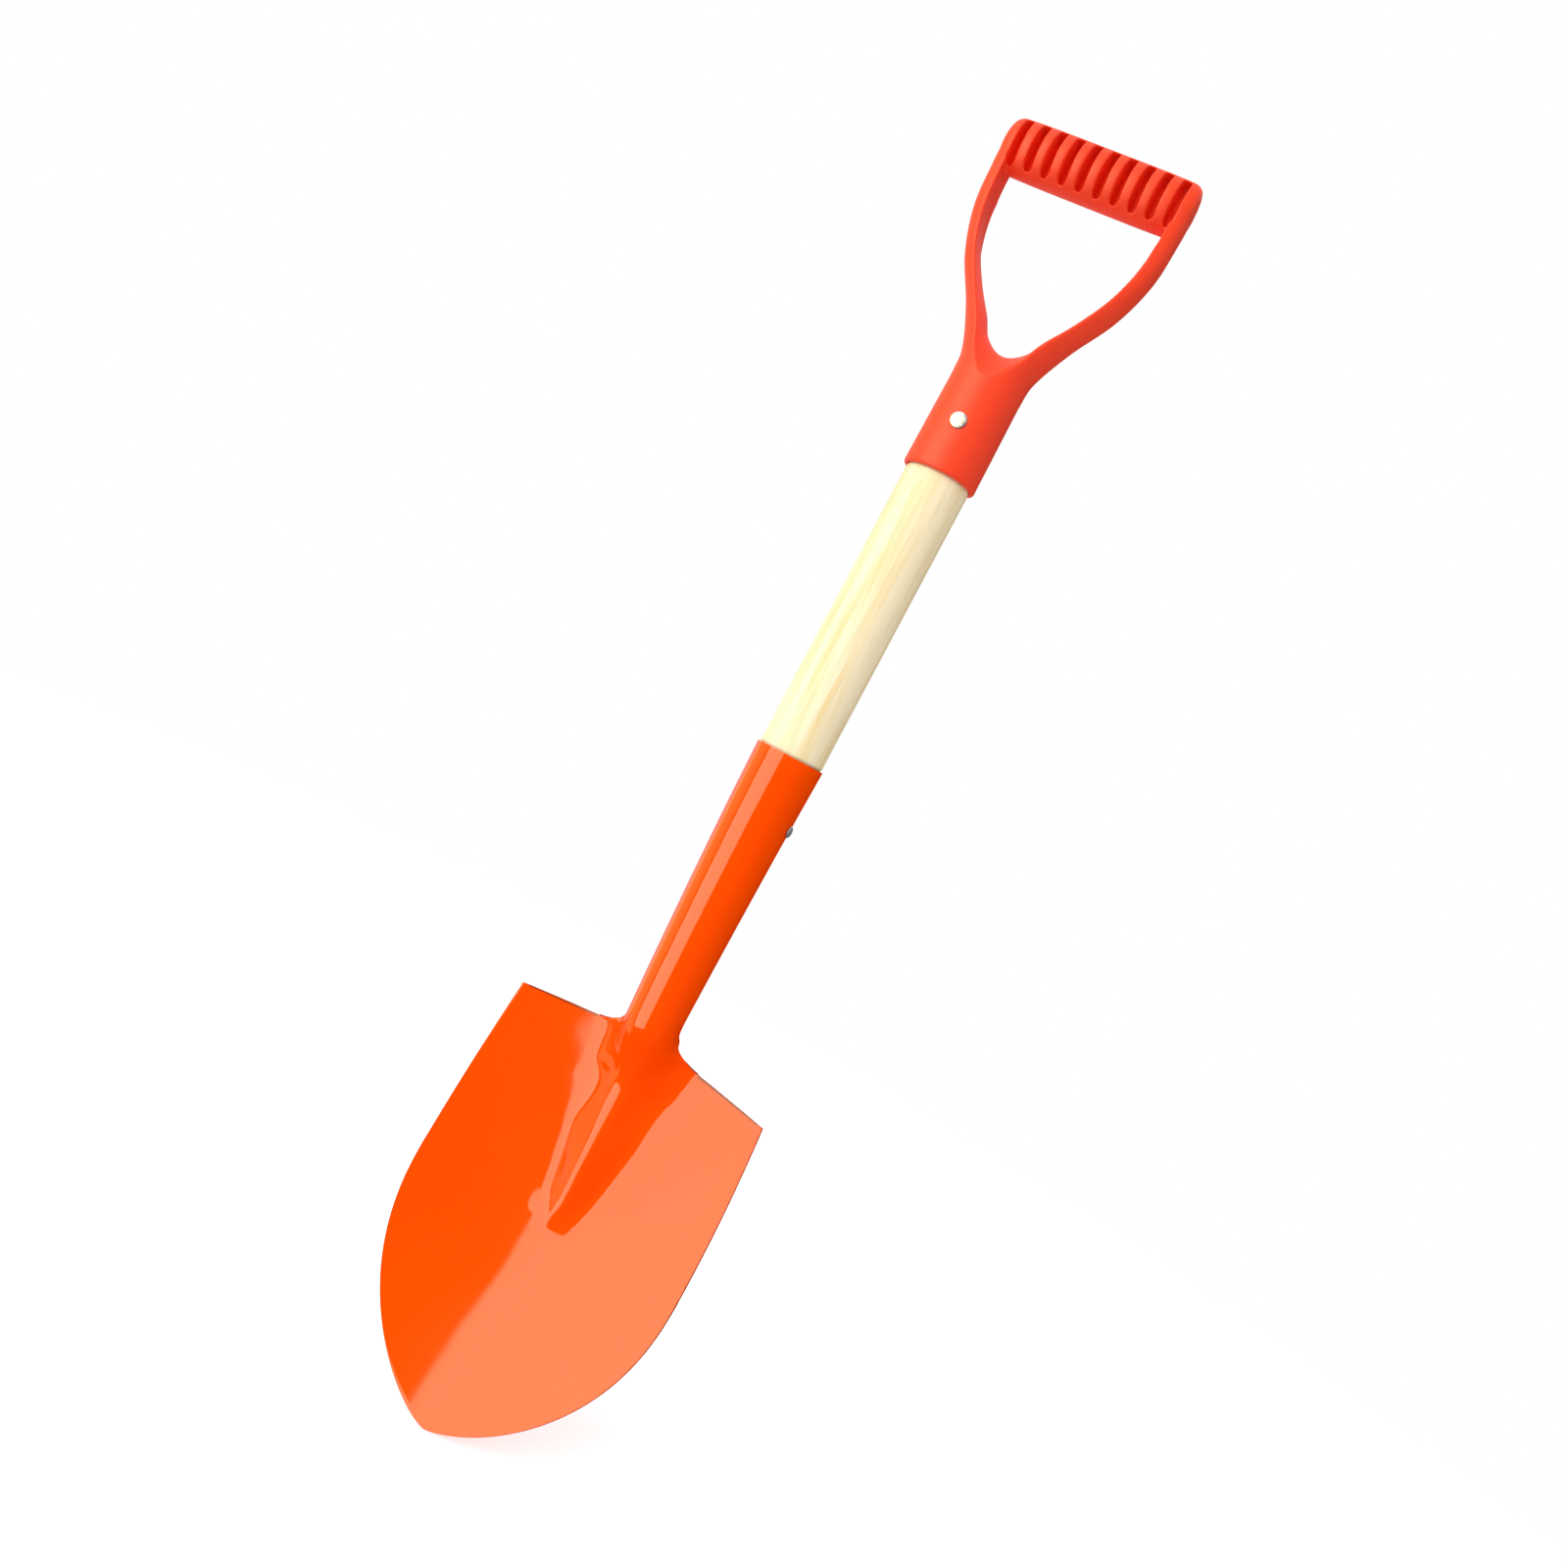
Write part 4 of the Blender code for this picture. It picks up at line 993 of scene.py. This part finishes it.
class SHOVEL_OT_handle(Operator):
    """Mould the D-handle with its ribbed grip"""
    bl_idname = "garden_shovel.add_handle"
    bl_label = "Add Handle"

    def execute(self, context):
        sizes = context.scene.shovel_handle
        fixings = context.scene.shovel_fixings
        gap = context.scene.shovel_shaft.gap
        shape = HandleShape(sizes)
        handle = extruded_body("d_grip", shape.body_rings())
        deepest = sizes.socket_diameter / 2 + OVERRUN
        layers = [deepest * k / OPENING_LAYERS for k in range(-OPENING_LAYERS, OPENING_LAYERS + 1)]
        opening = extruded_body("opening", [shape.opening_outline(y) for y in layers])
        join_shape(handle, opening, "DIFFERENCE")
        join_shape(handle, extruded_body("grip_bar", shape.grip_rings()), "UNION")
        first = extruded_body("pocket", shape.pocket_rings())
        for index in range(sizes.pockets):
            pocket = first.copy()
            pocket.data = first.data.copy()
            context.collection.objects.link(pocket)
            across = (index - (sizes.pockets - 1) / 2) * sizes.pocket_pitch
            pocket.data.transform(Matrix.Translation((across, 0.0, 0.0)))
            join_shape(handle, pocket, "DIFFERENCE")
        bpy.data.objects.remove(first)
        bore = rod_cutter(sizes.bore / 2, (0.0, 0.0, HANDLE_RIM_Z - OVERRUN),
                          (0.0, 0.0, HANDLE_RIM_Z + sizes.bore_depth), sides=96)
        join_shape(handle, bore, "DIFFERENCE")
        rivet_z = HANDLE_RIM_Z + fixings.rivet_above_rim
        seat = shape.half_depth(rivet_z) - fixings.seat_depth
        out = sizes.socket_diameter
        for width, start, end in ((fixings.rivet_shank, -out, out),
                                  (fixings.rivet_head, -out, -seat), (fixings.washer, seat, out)):
            hole = rod_cutter(width / 2 + gap, (0.0, start, rivet_z), (0.0, end, rivet_z))
            join_shape(handle, hole, "DIFFERENCE")
        apply_modifier(handle, "REMESH", mode="VOXEL", voxel_size=sizes.grain, adaptivity=0.0)
        apply_modifier(handle, "SMOOTH", factor=0.5, iterations=3)
        dress(handle, "d_handle",
              [plastic_material("moulded_polypropylene", sizes.plastic)], angle=180.0)
        return {"FINISHED"}


def dome(radius, base, height, flatness=1.0, steps=14):
    """Profile of a low dome from crown to rim; a negative height points down."""
    angles = [math.pi / 2 * k / steps for k in range(steps + 1)]
    return [(radius * math.sin(angle), base + height * max(math.cos(angle), 0.0) ** (1 / flatness))
            for angle in angles]


class SHOVEL_OT_fixings(Operator):
    """Turn the rivet with its washer, and the nail in the steel socket"""
    bl_idname = "garden_shovel.add_fixings"
    bl_label = "Add Rivet and Nail"

    def execute(self, context):
        sizes = context.scene.shovel_fixings
        gap = context.scene.shovel_shaft.gap
        zinc = zinc_material("bright_zinc_plate", sizes.zinc)
        rivet_z = HANDLE_RIM_Z + sizes.rivet_above_rim
        seat = HandleShape(context.scene.shovel_handle).half_depth(rivet_z) - sizes.seat_depth
        under_head, under_tail = seat + gap, seat + sizes.washer_sheet + 2 * gap
        shank = sizes.rivet_shank / 2
        rim = sizes.rivet_rise / 4
        head = dome(sizes.rivet_head / 2, under_head + rim, sizes.rivet_rise - rim,
                    flatness=2.0)
        tail = dome(sizes.tail / 2, -under_tail, -sizes.tail_rise)
        profile = head + [(sizes.rivet_head / 2, under_head), (shank, under_head),
                          (shank, -under_tail)] + list(reversed(tail))
        rivet = spun_body("grip_rivet", profile, steps=64)
        turn_and_move(rivet, (0.0, -1.0, 0.0), (0.0, 0.0, rivet_z))
        dress(rivet, "handle_rivet", [zinc])

        half, edge = sizes.washer_sheet / 2, sizes.washer_sheet / 5
        outer, inner = sizes.washer / 2, shank + gap
        ring = [(inner, half), (outer - edge, half), (outer, half - edge), (outer, -half),
                (inner, -half), (inner, half)]
        washer = spun_body("grip_rivet_washer", ring, steps=64)
        turn_and_move(washer, (0.0, 1.0, 0.0), (0.0, seat + gap + half, rivet_z))
        dress(washer, "handle_rivet_washer", [zinc])

        shape = BladeShape(context.scene.shovel_blade)
        nail_z = MOUTH_Z - sizes.nail_below_mouth
        nail_seat = shape.socket_radius(nail_z) + gap
        shank = sizes.nail_shank / 2
        point = nail_seat - sizes.nail_length
        profile = dome(sizes.nail_head / 2, nail_seat, sizes.nail_rise)
        profile += [(shank, nail_seat), (shank, point + sizes.nail_point), (0.0, point)]
        nail = spun_body("bright_socket_nail", profile, steps=48)
        turn_and_move(nail, (1.0, 0.0, 0.0), (0.0, 0.0, nail_z))
        dress(nail, "socket_nail", [zinc])
        return {"FINISHED"}


# Stage
CAMERA_PLACE = (0.1668, -0.6539, -0.3002)
CAMERA_AZIMUTH = math.radians(14.01)
CAMERA_DROP = math.radians(1.356)
CAMERA_ROLL = math.radians(28.03)
FLOOR_FADE = (0.3, 0.95)
FLOOR_LIFT = 0.45
KEY_PLACE, KEY_TARGET = (-1.0, -1.9, 1.3), (0.0, 0.0, -0.3)
PANEL_PLACE, PANEL_SIZE = (-0.6708, -0.9948, -0.35), (1.17, 2.2)
PANEL_COLOR = (1.0, 0.97, 0.62)
SIDE_PLACE, SIDE_SIZE = (-1.5, 0.1, -0.6), (1.5, 3.2)
SIDE_COLOR = (1.0, 0.85, 0.28)
SIDE_BRIGHTNESS = 2.0
SCREEN_RADIUS, SCREEN_HEIGHT, SCREEN_MIDDLE_Z = 2.3, 4.0, -0.7
OPEN_BEHIND_Y, OPEN_LEFT_OF_X = 0.9, -0.5


def light_path_share(tree):
    """1 for rays from the camera and for mirrored and transmitted rays, else 0."""
    path = add_node(tree, "LightPath")
    first = add_node(tree, "Math", links={0: path.outputs["Is Camera Ray"],
                                          1: path.outputs["Is Glossy Ray"]}, operation="ADD")
    return add_node(tree, "Math", links={0: first, 1: path.outputs["Is Transmission Ray"]},
                    operation="ADD", use_clamp=True)


def add_lamp(context, name, kind, place, target, hidden_from, **settings):
    """Add a lamp that shines from a place to a target, unseen by some kinds of rays."""
    lamp = bpy.data.objects.new(name, bpy.data.lights.new(name, kind))
    context.collection.objects.link(lamp)
    for setting, value in settings.items():
        setattr(lamp.data, setting, value)
    for rays in hidden_from:
        setattr(lamp, "visible_" + rays, False)
    lamp.location = place
    lamp.rotation_euler = (Vector(target) - Vector(place)).to_track_quat("-Z", "Y").to_euler()


def add_panel(context, name, place, size, color, brightness):
    """A glowing panel that faces the shaft's axis and is mirrored by the gloss only."""
    add_lamp(context, name, "AREA", place, (0.0, 0.0, place[2]), ("diffuse", "camera"),
             shape="RECTANGLE", size=size[0], size_y=size[1], color=color,
             energy=brightness * math.pi * size[0] * size[1])


class SHOVEL_OT_stage(Operator):
    """Lay the pale floor, hang the lights and place the camera"""
    bl_idname = "garden_shovel.add_stage"
    bl_label = "Add Stage"

    def execute(self, context):
        sizes = context.scene.shovel_stage
        self.lay_floor(sizes)
        self.hang_lights(context, sizes)
        self.hang_screen()
        self.place_camera(context, sizes)
        context.scene.view_settings.view_transform = "Standard"
        return {"FINISHED"}

    def lay_floor(self, sizes):
        deselect_all()
        bpy.ops.mesh.primitive_plane_add(size=sizes.floor_size, location=(0.0, 0.0, FLOOR_Z))
        floor = just_added("floor")
        floor.visible_glossy = False
        material, tree = new_material("painted_floor")
        place = add_node(tree, "TexCoord")
        away = add_node(tree, "VectorMath", links={0: place.outputs["Object"]},
                        operation="LENGTH")
        half = sizes.floor_size / 2
        fade = add_node(tree, "MapRange", {"From Min": FLOOR_FADE[0] * half,
                                           "From Max": FLOOR_FADE[1] * half},
                        {"Value": away.outputs["Value"]}, interpolation_type="SMOOTHSTEP")
        paint = add_node(tree, "BsdfDiffuse", {"Color": shade(sizes.floor)})
        lift = add_node(tree, "Math", {1: FLOOR_LIFT}, {0: light_path_share(tree)},
                        operation="MULTIPLY")
        lit = add_node(tree, "AddShader",
                       links={0: paint, 1: add_node(tree, "Emission", links={"Strength": lift})})
        clear = add_node(tree, "BsdfTransparent")
        faded = add_node(tree, "MixShader", links={0: fade, 1: lit, 2: clear})
        add_node(tree, "OutputMaterial", links={"Surface": faded})
        floor.data.materials.append(material)

    def hang_lights(self, context, sizes):
        world = bpy.data.worlds.new("pale_room")
        world.use_nodes = True
        tree = world.node_tree
        tree.nodes.clear()
        fill, white = (add_node(tree, "Background", {"Color": (1.0, 1.0, 1.0, 1.0),
                                                     "Strength": strength})
                       for strength in (sizes.fill, 1.0))
        seen = add_node(tree, "MixShader", links={0: light_path_share(tree), 1: fill, 2: white})
        add_node(tree, "OutputWorld", links={"Surface": seen})
        context.scene.world = world
        add_lamp(context, "key", "SUN", KEY_PLACE, KEY_TARGET, ("glossy",),
                 energy=sizes.key * math.pi, angle=math.radians(60))
        add_panel(context, "panel", PANEL_PLACE, PANEL_SIZE, PANEL_COLOR, sizes.reflection)
        add_panel(context, "side_panel", SIDE_PLACE, SIDE_SIZE, SIDE_COLOR, SIDE_BRIGHTNESS)

    def hang_screen(self):
        """Black felt, open at the top and the back left: only the gloss mirrors it."""
        deselect_all()
        bpy.ops.mesh.primitive_cylinder_add(vertices=64, radius=SCREEN_RADIUS,
                                            depth=SCREEN_HEIGHT,
                                            location=(0.0, 0.0, SCREEN_MIDDLE_Z))
        screen = just_added("black_screen")
        select_by_place(screen, lambda face: face.normal.z > 0.5 or face.center.x < OPEN_LEFT_OF_X
                        and face.center.y > OPEN_BEHIND_Y, faces=True)
        bpy.ops.mesh.delete(type="FACE")
        leave_edit()
        for rays in ("camera", "diffuse", "transmission", "volume_scatter", "shadow"):
            setattr(screen, "visible_" + rays, False)
        felt, tree = new_material("black_felt")
        black = add_node(tree, "BsdfDiffuse", {"Color": (0.0, 0.0, 0.0, 1.0)})
        add_node(tree, "OutputMaterial", links={"Surface": black})
        screen.data.materials.append(felt)

    def place_camera(self, context, sizes):
        look = Vector((-math.sin(CAMERA_AZIMUTH) * math.cos(CAMERA_DROP),
                       math.cos(CAMERA_AZIMUTH) * math.cos(CAMERA_DROP),
                       -math.sin(CAMERA_DROP)))
        level = look.cross(Vector((0.0, 0.0, 1.0))).normalized()
        upright = level.cross(look)
        right = math.cos(CAMERA_ROLL) * level + math.sin(CAMERA_ROLL) * upright
        up = math.cos(CAMERA_ROLL) * upright - math.sin(CAMERA_ROLL) * level
        camera = bpy.data.objects.new("camera", bpy.data.cameras.new("camera"))
        context.collection.objects.link(camera)
        camera.data.sensor_width = 36.0
        camera.data.lens = sizes.lens
        turn = Matrix((right, up, -look)).transposed().to_4x4()
        camera.matrix_world = Matrix.Translation(CAMERA_PLACE) @ turn
        context.scene.camera = camera


class SHOVEL_PT_panel(Panel):
    """Lists the shovel's pieces with their sizes and colours"""
    bl_label = "Garden Shovel"
    bl_idname = "SHOVEL_PT_panel"
    bl_space_type = "VIEW_3D"
    bl_region_type = "UI"
    bl_category = "Shovel"

    def draw(self, context):
        for operator, name, group in PIECES:
            box = self.layout.box()
            box.operator(operator.bl_idname)
            for size in group.__annotations__:
                box.prop(getattr(context.scene, name), size)


PIECES = [
    (SHOVEL_OT_blade, "shovel_blade", ShovelBladeSettings),
    (SHOVEL_OT_shaft, "shovel_shaft", ShovelShaftSettings),
    (SHOVEL_OT_handle, "shovel_handle", ShovelHandleSettings),
    (SHOVEL_OT_fixings, "shovel_fixings", ShovelFixingSettings),
    (SHOVEL_OT_stage, "shovel_stage", ShovelStageSettings),
]


def register():
    for operator, name, group in PIECES:
        bpy.utils.register_class(group)
        setattr(bpy.types.Scene, name, PointerProperty(type=group))
        bpy.utils.register_class(operator)
    bpy.utils.register_class(SHOVEL_PT_panel)


def unregister():
    bpy.utils.unregister_class(SHOVEL_PT_panel)
    for operator, name, group in reversed(PIECES):
        bpy.utils.unregister_class(operator)
        delattr(bpy.types.Scene, name)
        bpy.utils.unregister_class(group)


def main():
    register()
    bpy.ops.garden_shovel.add_blade()
    bpy.ops.garden_shovel.add_shaft()
    bpy.ops.garden_shovel.add_handle()
    bpy.ops.garden_shovel.add_fixings()
    bpy.ops.garden_shovel.add_stage()


if __name__ == "__main__":
    main()
